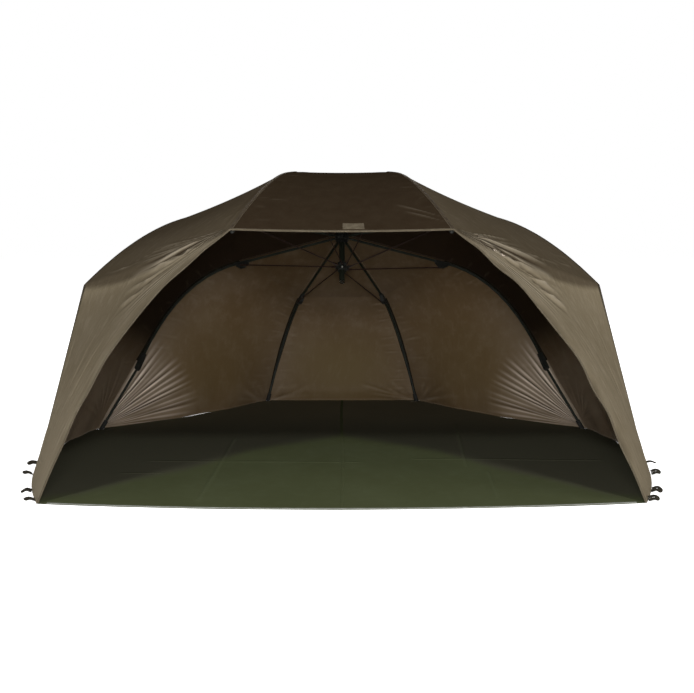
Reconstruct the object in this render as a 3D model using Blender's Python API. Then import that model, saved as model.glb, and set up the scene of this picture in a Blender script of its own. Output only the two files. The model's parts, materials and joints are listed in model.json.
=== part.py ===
"""Oval fishing umbrella shelter, pitched open with its groundsheet laid out underneath.

Eight jointed ribs fan out from a hub on a short centre tube that leans forwards. Eight struts brace them
from a runner on that tube. Four ribs stand on the ground and four hold the roof up over the open front.
The canopy is eight sewn panels that meet along the ribs.

Places are worked out in the umbrella's own terms: an azimuth round the leaning axis, counted from straight
back, a radius from that axis, and a drop below the hub along it. X is to the right, Y to the back, Z up.
"""

import math

import bmesh
import bpy
import numpy as np
from mathutils import Vector

# Fit
GAP = 0.0003
CUT_OVERRUN = 0.004

# Stance of the umbrella, with Y counted from the line between the front corners
LEAN = math.radians(40)
HUB_HEIGHT = 0.978
HUB_SETBACK = 1.56

# Rib azimuths, counted from straight back
BACK_AZIMUTH = math.radians(24.6)
SIDE_AZIMUTH = math.radians(71.9)
FRONT_SIDE_AZIMUTH = math.radians(110.7)
FRONT_AZIMUTH = math.radians(157.8)

# Ribs
RIB_RADIUS = 0.0065
RIB_PIVOT_RADIUS = 0.026
TONGUE_HALF_WIDTH = 0.0027
TONGUE_HALF_HEIGHT = 0.0055
TONGUE_LENGTH = 0.020
TONGUE_BLEND = 0.014
TONGUE_NOSE_SHARES = ((1.0, 0.25), (0.8, 0.7), (0.4, 0.96))
RIB_TAIL = 0.040
ELBOW_RADIUS = 0.574
ELBOW_DROP = 0.036
BACK_BOW = (0.790, 0.100)
SIDE_BOW = (0.950, 0.045)
FRONT_SIDE_BOW = (0.920, 0.050)
FRONT_BOW = (0.790, 0.168)
BACK_END_RADIUS = 1.043
FRONT_SIDE_END = (1.252, 0.624)
FRONT_END = (1.159, 0.805)

# Folding legs that carry the two side ribs to the ground
LEG_END_RADIUS = 1.304
KNUCKLE_INSET = 0.162
KNUCKLE_HEIGHT_SHARE = 0.29763
LEG_TONGUE_LENGTH = 0.030
LEG_TONGUE_HALF_HEIGHT = 0.0080

# Strut brackets at the rib elbows
BRACKET_HALF_WIDTH = 0.0098
BRACKET_SLEEVE_RADIUS = 0.0084
BRACKET_SLEEVE_REACH = 0.045
BRACKET_REACH = 0.038
BRACKET_SHOULDER = 0.003
BRACKET_CHEEK = 0.009
BRACKET_DEPTH = 0.033
BRACKET_TOE = 0.012
STRUT_PIN_DROP = 0.024

# Struts
STRUT_RADIUS = 0.0036
STRUT_EYE_HALF_HEIGHT = 0.0064
STRUT_EYE_HALF_WIDTH = 0.0025
STRUT_EYE_LENGTH = 0.012
STRUT_EYE_BLEND = 0.018
STRUT_NOSE_SHARES = ((1.0, 0.25), (0.7, 0.75), (0.0, 1.0))
STRUT_WIDTH_SHARE = 0.69
RIVET_RADIUS = 0.0032
RIVET_HEIGHT = 0.0016
RIVET_FACE_SHARE = 0.6

# Hub, cap and centre tube
HUB_RADIUS = 0.036
HUB_RISE = 0.014
HUB_FALL = 0.016
HUB_CORE_RADIUS = 0.0175
COLLAR_RADIUS = 0.0172
COLLAR_LENGTH = 0.026
CAP_RADIUS = 0.030
CAP_HEIGHT = 0.014
CAP_STEM_RADIUS = 0.012
CAP_RIM_SHARE = 0.2
TUBE_RADIUS = 0.014
TUBE_WALL = 0.0015
TUBE_END_DROP = 0.290
FERRULE_BORE_RADIUS = 0.0080
FERRULE_DEPTH = 0.030
FERRULE_FLANGE = 0.003

# Runner and its lock button
RUNNER_RADIUS = 0.0235
RUNNER_HALF_HEIGHT = 0.0245
RUNNER_EDGE = 0.002
RUNNER_DROP = 0.197
STRUT_PIN_RADIUS = 0.032
LUG_RADIUS = 0.0068
LUG_INNER_FACE = 0.0035
BUTTON_RADIUS = 0.0050
BUTTON_DROP = 0.013
BUTTON_PROUD = 0.004
BUTTON_ROOT_RADIUS = 0.0180

# Knuckles that join the side ribs to their legs
KNUCKLE_LENGTH = 0.090
KNUCKLE_HALF_HEIGHT = 0.0130
KNUCKLE_NECK_HALF_HEIGHT = 0.0105
KNUCKLE_SLOT_DEPTH = 0.030
KNUCKLE_RIB_STOP = 0.034

# Feet and tip caps
FOOT_RADIUS = 0.0110
FOOT_LENGTH = 0.034
FOOT_CUT_REACH = 0.039
RIB_END_HEIGHT = 0.013
TIP_RADIUS = 0.0086
TIP_LENGTH = 0.030
TIP_NOSE = 0.009

# Canopy
CLOTH = 0.003
CLOTH_LIFT = 0.0145
FOOT_LIFT = 0.0250
KNUCKLE_LIFT = 0.0290
CLOTH_HOLE_RADIUS = 0.0150
SEAM_GAP = 0.0004
ROOF_SAG = 0.009
WALL_FOLD = 0.006
WALL_FOLDS = 3
BACK_SIDE_BOW_IN = 0.060
SIDE_BOW_OUT = 0.030
WALL_BOW_OUT = 0.026
WALL_FOOT = (1.372, 0.620)
FRONT_CORNER_HALF_SPAN = 1.192
FRONT_CORNER_AHEAD = 0.012
ARCH_UPPER = (0.801, 0.150, 0.782)
ARCH_LOWER = (0.928, 0.050, 0.634)
HEAD_ROWS = 4
ROOF_ROWS = 11
WALL_ROWS = 6
COLUMNS = 10

# Groundsheet
SHEET_THICKNESS = 0.004
SHEET_INSET = 0.046
SHEET_CORNER_INSET = 0.0036
SHEET_FRONT_BOW = 0.080
SHEET_FRONT_STEPS = 16

# Peg loops, each at a share of the way along the hem of its panel
LOOP_LENGTH = 0.056
LOOP_HALF_WIDTH = 0.013
LOOP_WEB = 0.007
LOOP_THICKNESS = 0.003
LOOP_SHARES = {"corner": 0.96, "front": 0.74, "middle": 0.34, "rear": 0.05}

# Facet counts
ROUND_SIDES = 10
TURNED_SIDES = 32
ARC_STEPS = 6
BOW_STEPS = 10
ARCH_STEPS = 40
CAP_STEPS = 3
CAP_LAST_TURN = math.radians(67.5)
TIP_STEPS = 2
TIP_LAST_TURN = math.radians(60)
SHARP_ANGLE = math.radians(35)

SIDES = (("left", -1), ("right", 1))

AXIS_UP = Vector((0, math.sin(LEAN), math.cos(LEAN)))
AXIS_BACK = Vector((0, math.cos(LEAN), -math.sin(LEAN)))
RIGHT = Vector((1, 0, 0))
HUB = Vector((0, HUB_SETBACK, HUB_HEIGHT))


def radial(azimuth):
    """Unit vector outwards from the umbrella's axis."""
    return math.sin(azimuth) * RIGHT + math.cos(azimuth) * AXIS_BACK


def lateral(azimuth):
    """Unit vector square to the rib's plane, which is also the axis that its joints turn about."""
    return AXIS_UP.cross(radial(azimuth))


def at(azimuth, radius, drop, side=0.0):
    """A point from its place in the umbrella's own terms."""
    return HUB + radial(azimuth) * radius - AXIS_UP * drop + lateral(azimuth) * side


def drop_at_height(azimuth, radius, height):
    """The drop at which a point of this azimuth and radius is at that height over the ground."""
    return (at(azimuth, radius, 0).z - height) / AXIS_UP.z


def plane_unit(a, b):
    return (Vector(b) - Vector(a)).normalized()


def material(name, colour, roughness, metallic=0.0):
    made = bpy.data.materials.get(name) or bpy.data.materials.new(name)
    made.use_nodes = True
    shader = made.node_tree.nodes["Principled BSDF"]
    shader.inputs["Base Color"].default_value = (*colour, 1.0)
    shader.inputs["Roughness"].default_value = roughness
    shader.inputs["Metallic"].default_value = metallic
    return made


def palette():
    """The materials, by the name of what they are for."""
    return {
        "canopy": material("canopy_cloth", (0.085, 0.066, 0.040), 0.62),
        "sheet": material("groundsheet_cloth", (0.052, 0.062, 0.028), 0.70),
        "frame": material("frame_coating", (0.010, 0.012, 0.009), 0.45, 0.4),
        "moulding": material("moulded_nylon", (0.012, 0.013, 0.011), 0.55),
        "rubber": material("foot_rubber", (0.015, 0.015, 0.014), 0.80),
        "bright": material("bright_metal", (0.62, 0.61, 0.58), 0.30, 1.0),
        "webbing": material("loop_webbing", (0.050, 0.046, 0.034), 0.80),
    }


def add_object(name, bm, origin, mat, smooth=True):
    """Makes an object of the mesh, whose vertices are in world places, with its origin at the given point."""
    bmesh.ops.recalc_face_normals(bm, faces=bm.faces)
    bmesh.ops.translate(bm, verts=bm.verts, vec=-Vector(origin))
    mesh = bpy.data.meshes.new(name)
    bm.to_mesh(mesh)
    bm.free()
    mesh.materials.append(mat)
    if smooth:
        mesh.shade_smooth()
        mesh.set_sharp_from_angle(angle=SHARP_ANGLE)
    made = bpy.data.objects.new(name, mesh)
    made.location = origin
    bpy.context.scene.collection.objects.link(made)
    return made


def cutter(name, bm, origin, mat):
    """A helper for a Boolean, which isn't a piece of the object."""
    made = add_object(name, bm, origin, mat, smooth=False)
    made.hide_render = True
    made.display_type = "WIRE"
    return made


def boolean(target, tool, operation):
    modifier = target.modifiers.new(f"{operation.lower()}_{tool.name}", "BOOLEAN")
    modifier.operation = operation
    modifier.object = tool
    return modifier


def loft(bm, stations, sides=ROUND_SIDES):
    """Skins elliptical sections: each is (centre, first axis, second axis, first half size, second half size)."""
    rings = []
    for centre, first, second, high, wide in stations:
        ring = []
        for k in range(sides):
            turn = 2 * math.pi * k / sides
            ring.append(bm.verts.new(centre + first * (high * math.cos(turn)) + second * (wide * math.sin(turn))))
        rings.append(ring)
    for near, far in zip(rings, rings[1:]):
        for k in range(sides):
            bm.faces.new((near[k], near[(k + 1) % sides], far[(k + 1) % sides], far[k]))
    bm.faces.new(rings[0])
    bm.faces.new(rings[-1][::-1])


def turned(bm, profile, base, axis, sides=TURNED_SIDES):
    """Turns a closed profile of (radius, distance along the axis) about the axis. Radius 0 is on the axis."""
    first = axis.orthogonal().normalized()
    second = axis.cross(first)
    rings = []
    for radius, along in profile:
        centre = base + axis * along
        if radius == 0:
            rings.append([bm.verts.new(centre)] * sides)
            continue
        rings.append([
            bm.verts.new(centre + radius * (first * math.cos(2 * math.pi * k / sides)
                                            + second * math.sin(2 * math.pi * k / sides)))
            for k in range(sides)
        ])
    pairs = list(zip(rings, rings[1:]))
    if profile[0][0] != 0:
        pairs.append((rings[-1], rings[0]))
    for near, far in pairs:
        for k in range(sides):
            corners = [near[k], near[(k + 1) % sides], far[(k + 1) % sides], far[k]]
            distinct = list(dict.fromkeys(corners))
            if len(distinct) > 2:
                bm.faces.new(distinct)


def slab(bm, outline, place, low, high):
    """Extrudes an outline of (along, up) points between two sideways distances. place(along, up, side) is a point."""
    near = [bm.verts.new(place(a, b, low)) for a, b in outline]
    far = [bm.verts.new(place(a, b, high)) for a, b in outline]
    count = len(outline)
    for k in range(count):
        bm.faces.new((near[k], near[(k + 1) % count], far[(k + 1) % count], far[k]))
    bm.faces.new(near[::-1])
    bm.faces.new(far)


def arc(centre, radius, start, end, steps=ARC_STEPS, second_share=1.0):
    """Points on an arc, with both ends. With a second share, its height is that share of a circle's."""
    return [
        (centre[0] + radius * math.cos(start + (end - start) * k / steps),
         centre[1] + radius * second_share * math.sin(start + (end - start) * k / steps))
        for k in range(steps + 1)
    ]


class Rib:
    """One rib: its route in its own plane, as points of (radius, drop) from its hub pivot to its end."""

    def __init__(self, name, azimuth, bow, end):
        self.name = name
        self.azimuth = azimuth
        self.pivot = Vector((RIB_PIVOT_RADIUS, 0))
        self.elbow = Vector((ELBOW_RADIUS, ELBOW_DROP))
        self.bow = Vector(bow)
        self.end = Vector(end)
        self.end_way = plane_unit(self.bow, self.end)
        self.start_way = plane_unit(self.pivot, self.elbow)

    def outer_route(self):
        """From the elbow to the end: a bowed stretch and then a straight tail."""
        tail = self.end - self.end_way * RIB_TAIL
        points = []
        for k in range(BOW_STEPS + 1):
            t = k / BOW_STEPS
            points.append((1 - t) ** 2 * self.elbow + 2 * t * (1 - t) * self.bow + t * t * tail)
        return points + [self.end]

    def route(self):
        return [self.pivot] + self.outer_route()

    def point(self, spot, side=0.0):
        return at(self.azimuth, spot[0], spot[1], side)

    def way(self, direction):
        """World direction of a direction in the rib's plane."""
        return radial(self.azimuth) * direction[0] - AXIS_UP * direction[1]

    def outward(self, direction):
        """World direction square to a direction in the rib's plane, on the canopy's side."""
        return self.way(Vector((direction[1], -direction[0])))

    def sections(self, points, radius):
        """Round sections along points of the rib's plane, mitred where the route turns."""
        made = []
        for k, spot in enumerate(points):
            before = plane_unit(points[max(k - 1, 0)], points[max(k, 1)])
            after = plane_unit(points[min(k, len(points) - 2)], points[min(k + 1, len(points) - 1)])
            made.append((self.point(spot), self.outward((before + after).normalized()),
                         lateral(self.azimuth), radius, radius))
        return made


def knuckle_spot():
    """Where a side rib ends in its knuckle, in its plane: inside the leg's end and at a share of the hub's height."""
    radius = LEG_END_RADIUS - KNUCKLE_INSET
    return radius, drop_at_height(SIDE_AZIMUTH, radius, HUB_HEIGHT * KNUCKLE_HEIGHT_SHARE)


def ribs():
    """The ribs by kind and side, from the back round to the front."""
    made = []
    for side, sign in SIDES:
        back = drop_at_height(BACK_AZIMUTH, BACK_END_RADIUS, RIB_END_HEIGHT)
        made.append(Rib(f"back_{side}", sign * BACK_AZIMUTH, BACK_BOW, (BACK_END_RADIUS, back)))
        made.append(Rib(f"side_{side}", sign * SIDE_AZIMUTH, SIDE_BOW, knuckle_spot()))
        made.append(Rib(f"front_side_{side}", sign * FRONT_SIDE_AZIMUTH, FRONT_SIDE_BOW, FRONT_SIDE_END))
        made.append(Rib(f"front_{side}", sign * FRONT_AZIMUTH, FRONT_BOW, FRONT_END))
    return {rib.name: rib for rib in made}


def tongue_sections(place, outward, side, half_height, length, radius):
    """A flat rounded tongue round a pivot, that swells into the round tube. place(along) is its centre line."""
    made = [(place(-half_height * before), outward, side, half_height * share, TONGUE_HALF_WIDTH)
            for before, share in TONGUE_NOSE_SHARES]
    made.append((place(length), outward, side, half_height, TONGUE_HALF_WIDTH))
    made.append((place(length + TONGUE_BLEND), outward, side, radius, radius))
    return made


def make_rib(rib, mats):
    """A tube from its tongue in the hub, through the elbow, to its end."""
    points = rib.outer_route()
    if rib.name.startswith("side"):
        points[-1] = rib.end - rib.end_way * KNUCKLE_RIB_STOP
    bm = bmesh.new()
    pivot = rib.point(rib.pivot)
    way = rib.way(rib.start_way)
    stations = tongue_sections(lambda along: pivot + way * along, rib.outward(rib.start_way),
                               lateral(rib.azimuth), TONGUE_HALF_HEIGHT, TONGUE_LENGTH, RIB_RADIUS)
    stations += rib.sections([rib.pivot] + points, RIB_RADIUS)[1:]
    loft(bm, stations)
    return add_object(f"rib_{rib.name}", bm, pivot, mats["frame"])


def strut_pin(rib):
    """Where the strut's outer pin is, in the rib's plane."""
    return rib.elbow + Vector((-rib.start_way[1], rib.start_way[0])) * STRUT_PIN_DROP


def make_bracket(rib, mats):
    """The moulded elbow bracket: a sleeve on the rib with a deep block below it that the strut pivots beside."""
    before = rib.start_way
    after = plane_unit(rib.elbow, rib.bow)
    along = rib.way((before + after).normalized())
    up = rib.outward((before + after).normalized())
    elbow = rib.point(rib.elbow)
    bend = before.angle(after) / 2
    fall = BRACKET_REACH * math.tan(bend)
    outline = [(-BRACKET_REACH, BRACKET_SHOULDER - fall), (-BRACKET_REACH, -BRACKET_CHEEK - fall),
               (-BRACKET_TOE, -BRACKET_DEPTH), (BRACKET_TOE, -BRACKET_DEPTH),
               (BRACKET_REACH, -BRACKET_CHEEK - fall), (BRACKET_REACH, BRACKET_SHOULDER - fall),
               (0, BRACKET_SHOULDER)]
    side = lateral(rib.azimuth)
    bm = bmesh.new()
    slab(bm, outline, lambda a, b, c: elbow + along * a + up * b + side * c,
         -BRACKET_HALF_WIDTH, BRACKET_HALF_WIDTH)
    block = add_object(f"strut_bracket_{rib.name}", bm, elbow, mats["moulding"])
    reach = [rib.elbow - before * BRACKET_SLEEVE_REACH, rib.elbow, rib.elbow + after * BRACKET_SLEEVE_REACH]
    bm = bmesh.new()
    loft(bm, rib.sections(reach, BRACKET_SLEEVE_RADIUS), TURNED_SIDES // 2)
    boolean(block, cutter(f"sleeve_{rib.name}", bm, elbow, mats["moulding"]), "UNION")
    past = BRACKET_SLEEVE_REACH + CUT_OVERRUN
    route = [rib.elbow - before * past] + rib.outer_route()[:3]
    bm = bmesh.new()
    loft(bm, rib.sections(route, RIB_RADIUS + GAP))
    boolean(block, cutter(f"rib_way_{rib.name}", bm, elbow, mats["moulding"]), "DIFFERENCE")
    return block


def make_strut(rib, mats):
    """A rod with a flat riveted eye at each end, beside the rib's plane so that it passes the bracket."""
    side = BRACKET_HALF_WIDTH + GAP + STRUT_EYE_HALF_WIDTH
    inner = Vector((STRUT_PIN_RADIUS, RUNNER_DROP))
    outer = strut_pin(rib)
    way = plane_unit(inner, outer)
    length = (outer - inner).length
    start = rib.point(inner, side)
    along, up = rib.way(way), rib.outward(way)
    across = lateral(rib.azimuth)
    half = [(-STRUT_EYE_HALF_HEIGHT * before, STRUT_EYE_HALF_HEIGHT * share, STRUT_EYE_HALF_WIDTH)
            for before, share in STRUT_NOSE_SHARES]
    half.append((STRUT_EYE_LENGTH, STRUT_EYE_HALF_HEIGHT, STRUT_EYE_HALF_WIDTH))
    half.append((STRUT_EYE_LENGTH + STRUT_EYE_BLEND, STRUT_RADIUS, STRUT_RADIUS * STRUT_WIDTH_SHARE))
    both = half + [(length - distance, high, wide) for distance, high, wide in reversed(half)]
    bm = bmesh.new()
    loft(bm, [(start + along * distance, up, across, high, wide) for distance, high, wide in both])
    rod = add_object(f"strut_{rib.name}", bm, rib.point(inner), mats["frame"])
    bm = bmesh.new()
    for distance in (0.0, length):
        profile = [(0, 0), (RIVET_RADIUS, 0), (RIVET_RADIUS, STRUT_EYE_HALF_WIDTH),
                   (RIVET_RADIUS * RIVET_FACE_SHARE, STRUT_EYE_HALF_WIDTH + RIVET_HEIGHT),
                   (0, STRUT_EYE_HALF_WIDTH + RIVET_HEIGHT)]
        turned(bm, profile, start + along * distance, across, ROUND_SIDES)
    boolean(rod, cutter(f"rivets_{rib.name}", bm, rib.point(inner), mats["frame"]), "UNION")
    return rod


def make_hub(all_ribs, mats):
    """The hub: a thick disc slotted for the eight tongues, with a collar below that holds the tube."""
    bm = bmesh.new()
    order = sorted(all_ribs.values(), key=lambda rib: rib.azimuth)
    half_slot = TONGUE_HALF_WIDTH + 2 * GAP
    outline = []
    for rib, after in zip(order, order[1:] + order[:1]):
        end = after.azimuth + (2 * math.pi if after.azimuth < rib.azimuth else 0)
        inner, outer = half_slot / HUB_CORE_RADIUS, math.asin(half_slot / HUB_RADIUS)
        for radius, turn in ((HUB_CORE_RADIUS, -math.asin(inner)), (HUB_CORE_RADIUS, math.asin(inner))):
            outline.append((radius, rib.azimuth + turn))
        for k in range(ARC_STEPS + 1):
            turn = rib.azimuth + outer + (end - rib.azimuth - 2 * outer) * k / ARC_STEPS
            outline.append((HUB_RADIUS, turn))
    flat = [(radius * math.sin(turn), radius * math.cos(turn)) for radius, turn in outline]
    slab(bm, flat, lambda a, b, c: HUB + RIGHT * a + AXIS_BACK * b - AXIS_UP * c, -HUB_RISE, HUB_FALL)
    hub = add_object("hub_block", bm, HUB, mats["moulding"])
    bm = bmesh.new()
    inner = TUBE_RADIUS + GAP
    turned(bm, [(inner, HUB_FALL - CUT_OVERRUN), (COLLAR_RADIUS, HUB_FALL - CUT_OVERRUN),
                (COLLAR_RADIUS, HUB_FALL + COLLAR_LENGTH), (inner, HUB_FALL + COLLAR_LENGTH)], HUB, -AXIS_UP)
    boolean(hub, cutter("hub_collar", bm, HUB, mats["moulding"]), "UNION")
    return hub


def make_cap(mats):
    """The cap that clamps the cloth to the top of the hub, with its stem through the hole in the cloth."""
    seat = HUB_RISE + 2 * GAP + CLOTH
    profile = [(0, HUB_RISE + GAP), (CAP_STEM_RADIUS, HUB_RISE + GAP), (CAP_STEM_RADIUS, seat), (CAP_RADIUS, seat)]
    rim = CAP_HEIGHT * CAP_RIM_SHARE
    profile += arc((0, seat + rim), CAP_RADIUS, 0, CAP_LAST_TURN, CAP_STEPS, (CAP_HEIGHT - rim) / CAP_RADIUS)
    profile.append((0, seat + CAP_HEIGHT))
    bm = bmesh.new()
    turned(bm, profile, HUB, AXIS_UP)
    return add_object("hub_cap", bm, HUB, mats["moulding"])


def make_tube(mats):
    """The centre tube, and the bright threaded ferrule in its lower end."""
    inner = TUBE_RADIUS - TUBE_WALL
    top = HUB_FALL + GAP
    bm = bmesh.new()
    turned(bm, [(inner, top), (TUBE_RADIUS, top), (TUBE_RADIUS, TUBE_END_DROP), (inner, TUBE_END_DROP)],
           HUB, -AXIS_UP)
    add_object("centre_tube", bm, at(0, 0, top), mats["frame"])
    flange = TUBE_END_DROP + GAP
    bush = inner - GAP
    bm = bmesh.new()
    turned(bm, [(FERRULE_BORE_RADIUS, TUBE_END_DROP - FERRULE_DEPTH), (bush, TUBE_END_DROP - FERRULE_DEPTH),
                (bush, flange), (TUBE_RADIUS, flange), (TUBE_RADIUS, flange + FERRULE_FLANGE),
                (FERRULE_BORE_RADIUS, flange + FERRULE_FLANGE)], HUB, -AXIS_UP)
    add_object("tube_ferrule", bm, at(0, 0, flange), mats["bright"])


def make_runner(all_ribs, mats):
    """The runner: a collar that slides on the tube, with a lug beside each strut eye."""
    inner = TUBE_RADIUS + GAP
    low, high = RUNNER_DROP - RUNNER_HALF_HEIGHT, RUNNER_DROP + RUNNER_HALF_HEIGHT
    bm = bmesh.new()
    turned(bm, [(inner, low), (RUNNER_RADIUS - RUNNER_EDGE, low), (RUNNER_RADIUS, low + RUNNER_EDGE),
                (RUNNER_RADIUS, high - RUNNER_EDGE), (RUNNER_RADIUS - RUNNER_EDGE, high), (inner, high)],
           HUB, -AXIS_UP)
    centre = at(0, 0, RUNNER_DROP)
    runner = add_object("runner", bm, centre, mats["moulding"])
    bm = bmesh.new()
    root = RUNNER_RADIUS - CUT_OVERRUN
    outline = [(root, LUG_RADIUS)] + arc((STRUT_PIN_RADIUS, 0), LUG_RADIUS, math.pi / 2, -math.pi / 2)
    outline.append((root, -LUG_RADIUS))
    for rib in all_ribs.values():
        slab(bm, outline, lambda a, b, c, rib=rib: rib.point((a, RUNNER_DROP - b), c),
             LUG_INNER_FACE, BRACKET_HALF_WIDTH)
    boolean(runner, cutter("runner_lugs", bm, centre, mats["moulding"]), "UNION")
    outward = -AXIS_BACK
    seat = at(0, 0, RUNNER_DROP + BUTTON_DROP)
    bm = bmesh.new()
    hole = BUTTON_RADIUS + GAP
    turned(bm, [(0, 0), (hole, 0), (hole, RUNNER_RADIUS + CUT_OVERRUN), (0, RUNNER_RADIUS + CUT_OVERRUN)],
           seat, outward, TURNED_SIDES // 2)
    boolean(runner, cutter("button_hole", bm, centre, mats["moulding"]), "DIFFERENCE")
    bm = bmesh.new()
    face = RUNNER_RADIUS + BUTTON_PROUD
    turned(bm, [(0, BUTTON_ROOT_RADIUS), (BUTTON_RADIUS, BUTTON_ROOT_RADIUS), (BUTTON_RADIUS, face - RUNNER_EDGE / 2),
                (BUTTON_RADIUS - RUNNER_EDGE / 2, face), (0, face)], seat, outward, TURNED_SIDES // 2)
    add_object("runner_lock_button", bm, seat + outward * face, mats["bright"])


def leg_end():
    """Where the leg's tube ends, in its rib's plane, just over the ground."""
    return Vector((LEG_END_RADIUS, drop_at_height(SIDE_AZIMUTH, LEG_END_RADIUS, RIB_END_HEIGHT)))


def make_leg(rib, mats):
    """A side rib's knuckle, a fork on the end of the rib, and the folding leg whose tongue turns in it."""
    pivot = rib.point(rib.end)
    way, up, side = rib.way(rib.end_way), rib.outward(rib.end_way), lateral(rib.azimuth)
    neck = KNUCKLE_NECK_HALF_HEIGHT
    outline = [(-KNUCKLE_LENGTH, neck), (-KNUCKLE_LENGTH, -neck), (-KNUCKLE_RIB_STOP, -KNUCKLE_HALF_HEIGHT)]
    outline += arc((0, 0), KNUCKLE_HALF_HEIGHT, -math.pi / 2, math.pi / 2)
    outline.append((-KNUCKLE_RIB_STOP, KNUCKLE_HALF_HEIGHT))
    outline = [(a, -b) for a, b in outline]
    bm = bmesh.new()
    slab(bm, outline, lambda a, b, c: pivot + way * a + up * b + side * c, -BRACKET_HALF_WIDTH, BRACKET_HALF_WIDTH)
    knuckle = add_object(f"leg_knuckle_{rib.name}", bm, pivot, mats["moulding"])
    bm = bmesh.new()
    past = KNUCKLE_LENGTH + CUT_OVERRUN
    route = [spot for spot in rib.outer_route() if (spot - rib.end).length < 2 * past][:-1]
    route.append(rib.end - rib.end_way * (KNUCKLE_RIB_STOP - GAP))
    loft(bm, rib.sections(route, RIB_RADIUS + GAP))
    boolean(knuckle, cutter(f"socket_{rib.name}", bm, pivot, mats["moulding"]), "DIFFERENCE")
    slot = TONGUE_HALF_WIDTH + 2 * GAP
    reach = KNUCKLE_HALF_HEIGHT + CUT_OVERRUN
    bm = bmesh.new()
    slab(bm, [(-KNUCKLE_SLOT_DEPTH, -reach), (reach, -reach), (reach, reach), (-KNUCKLE_SLOT_DEPTH, reach)],
         lambda a, b, c: pivot + way * a + up * b + side * c, -slot, slot)
    boolean(knuckle, cutter(f"fork_{rib.name}", bm, pivot, mats["moulding"]), "DIFFERENCE")
    end = leg_end()
    leg_way = plane_unit(rib.end, end)
    along = rib.way(leg_way)
    stations = tongue_sections(lambda distance: pivot + along * distance, rib.outward(leg_way), side,
                               LEG_TONGUE_HALF_HEIGHT, LEG_TONGUE_LENGTH, RIB_RADIUS)
    stations.append((rib.point(end), rib.outward(leg_way), side, RIB_RADIUS, RIB_RADIUS))
    bm = bmesh.new()
    loft(bm, stations)
    add_object(f"leg_{rib.name}", bm, pivot, mats["frame"])
    return knuckle


def make_foot(rib, end, end_way, mats):
    """A rubber cup on the end of a tube that stands on the ground, with its sole cut level."""
    inner = RIB_RADIUS + GAP
    base = rib.point(end)
    way = rib.way(end_way)
    bm = bmesh.new()
    turned(bm, [(0, GAP), (inner, GAP), (inner, -FOOT_LENGTH), (FOOT_RADIUS, -FOOT_LENGTH),
                (FOOT_RADIUS, FOOT_CUT_REACH), (0, FOOT_CUT_REACH)], base, way, TURNED_SIDES // 2)
    level = Vector((0, 0, 1))
    everything = list(bm.verts) + list(bm.edges) + list(bm.faces)
    cut = bmesh.ops.bisect_plane(bm, geom=everything, plane_co=(0, 0, 0), plane_no=level, clear_inner=True)
    rim = [item for item in cut["geom_cut"] if isinstance(item, bmesh.types.BMEdge)]
    bmesh.ops.contextual_create(bm, geom=rim)
    return add_object(f"foot_{rib.name}", bm, base, mats["rubber"])


def make_tip(rib, mats):
    """A round-nosed cap on the end of a rib that holds the hem out."""
    inner = RIB_RADIUS + GAP
    nose = arc((0, GAP), TIP_RADIUS, 0, TIP_LAST_TURN, TIP_STEPS, TIP_NOSE / TIP_RADIUS)
    bm = bmesh.new()
    turned(bm, [(0, GAP), (inner, GAP), (inner, -TIP_LENGTH), (TIP_RADIUS, -TIP_LENGTH)] + nose
           + [(0, GAP + TIP_NOSE)], rib.point(rib.end), rib.way(rib.end_way), TURNED_SIDES // 2)
    return add_object(f"rib_tip_{rib.name}", bm, rib.point(rib.end), mats["moulding"])


def spaced(points, count, first=0.0):
    """count points at even distances along a line of points, the first of them at the given distance."""
    line = np.array([list(p) for p in points])
    along = np.concatenate([[0], np.cumsum(np.linalg.norm(np.diff(line, axis=0), axis=1))])
    where = np.linspace(first, along[-1], count)
    return np.stack([np.interp(where, along, line[:, k]) for k in range(line.shape[1])], axis=1)


class Seam:
    """A line that two panels share: its points, and at each the way out of the canopy."""

    def __init__(self, points, normals):
        self.points = np.array([list(p) for p in points])
        self.normals = np.array([list(n) for n in normals])
        run = np.gradient(self.points, axis=0)
        across = np.cross(run, self.normals)
        self.across = across / np.linalg.norm(across, axis=1)[:, None]

    def beside(self, towards):
        """The seam's points moved half a seam gap towards a point."""
        sign = np.sign(((np.array(list(towards)) - self.points) * self.across).sum(axis=1))
        return self.points + self.across * sign[:, None] * (SEAM_GAP / 2)


def lifted(rib):
    """The cloth's own line over a rib, in the rib's plane: from the elbow over the tube to its end or foot."""
    route = rib.outer_route()
    lifts = [CLOTH_LIFT] * (len(route) - 1)
    if rib.name.startswith("side"):
        route.append(leg_end())
        lifts += [KNUCKLE_LIFT, FOOT_LIFT]
        lifts[-3] = KNUCKLE_LIFT
    elif rib.name.startswith("back"):
        lifts.append(FOOT_LIFT)
    else:
        route.append(rib.end + rib.end_way * TIP_NOSE)
        lifts += [CLOTH_LIFT, CLOTH_LIFT]
    out = []
    for k, (spot, lift) in enumerate(zip(route, lifts)):
        before = plane_unit(route[k - 1], spot) if k else rib.start_way
        after = plane_unit(spot, route[k + 1]) if k + 1 < len(route) else before
        way = (before + after).normalized()
        out.append(spot + Vector((way[1], -way[0])) * lift)
    return out


def rib_seam(rib, rows):
    """The seam over a rib from the hub to its end or, for one that stands, on to the ground."""
    line = lifted(rib)
    if not rib.name.startswith("front"):
        last, way = line[-1], plane_unit(line[-2], line[-1])
        rise = rib.point(last).z - CLOTH / 2
        line.append(last + way * (rise / -rib.way(way).z))
    height = -(HUB_RISE + GAP + CLOTH / 2)
    hole = np.array([[CLOTH_HOLE_RADIUS, height]])
    head = spaced([(HUB_RADIUS + CLOTH, height), line[0]], HEAD_ROWS)
    flat = np.concatenate([hole, head, spaced(line, rows - HEAD_ROWS, BRACKET_SLEEVE_REACH)])
    run = np.gradient(flat, axis=0)
    points = [rib.point(spot) for spot in flat]
    normals = [rib.outward(Vector(way).normalized()) for way in run]
    return points, normals


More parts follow.
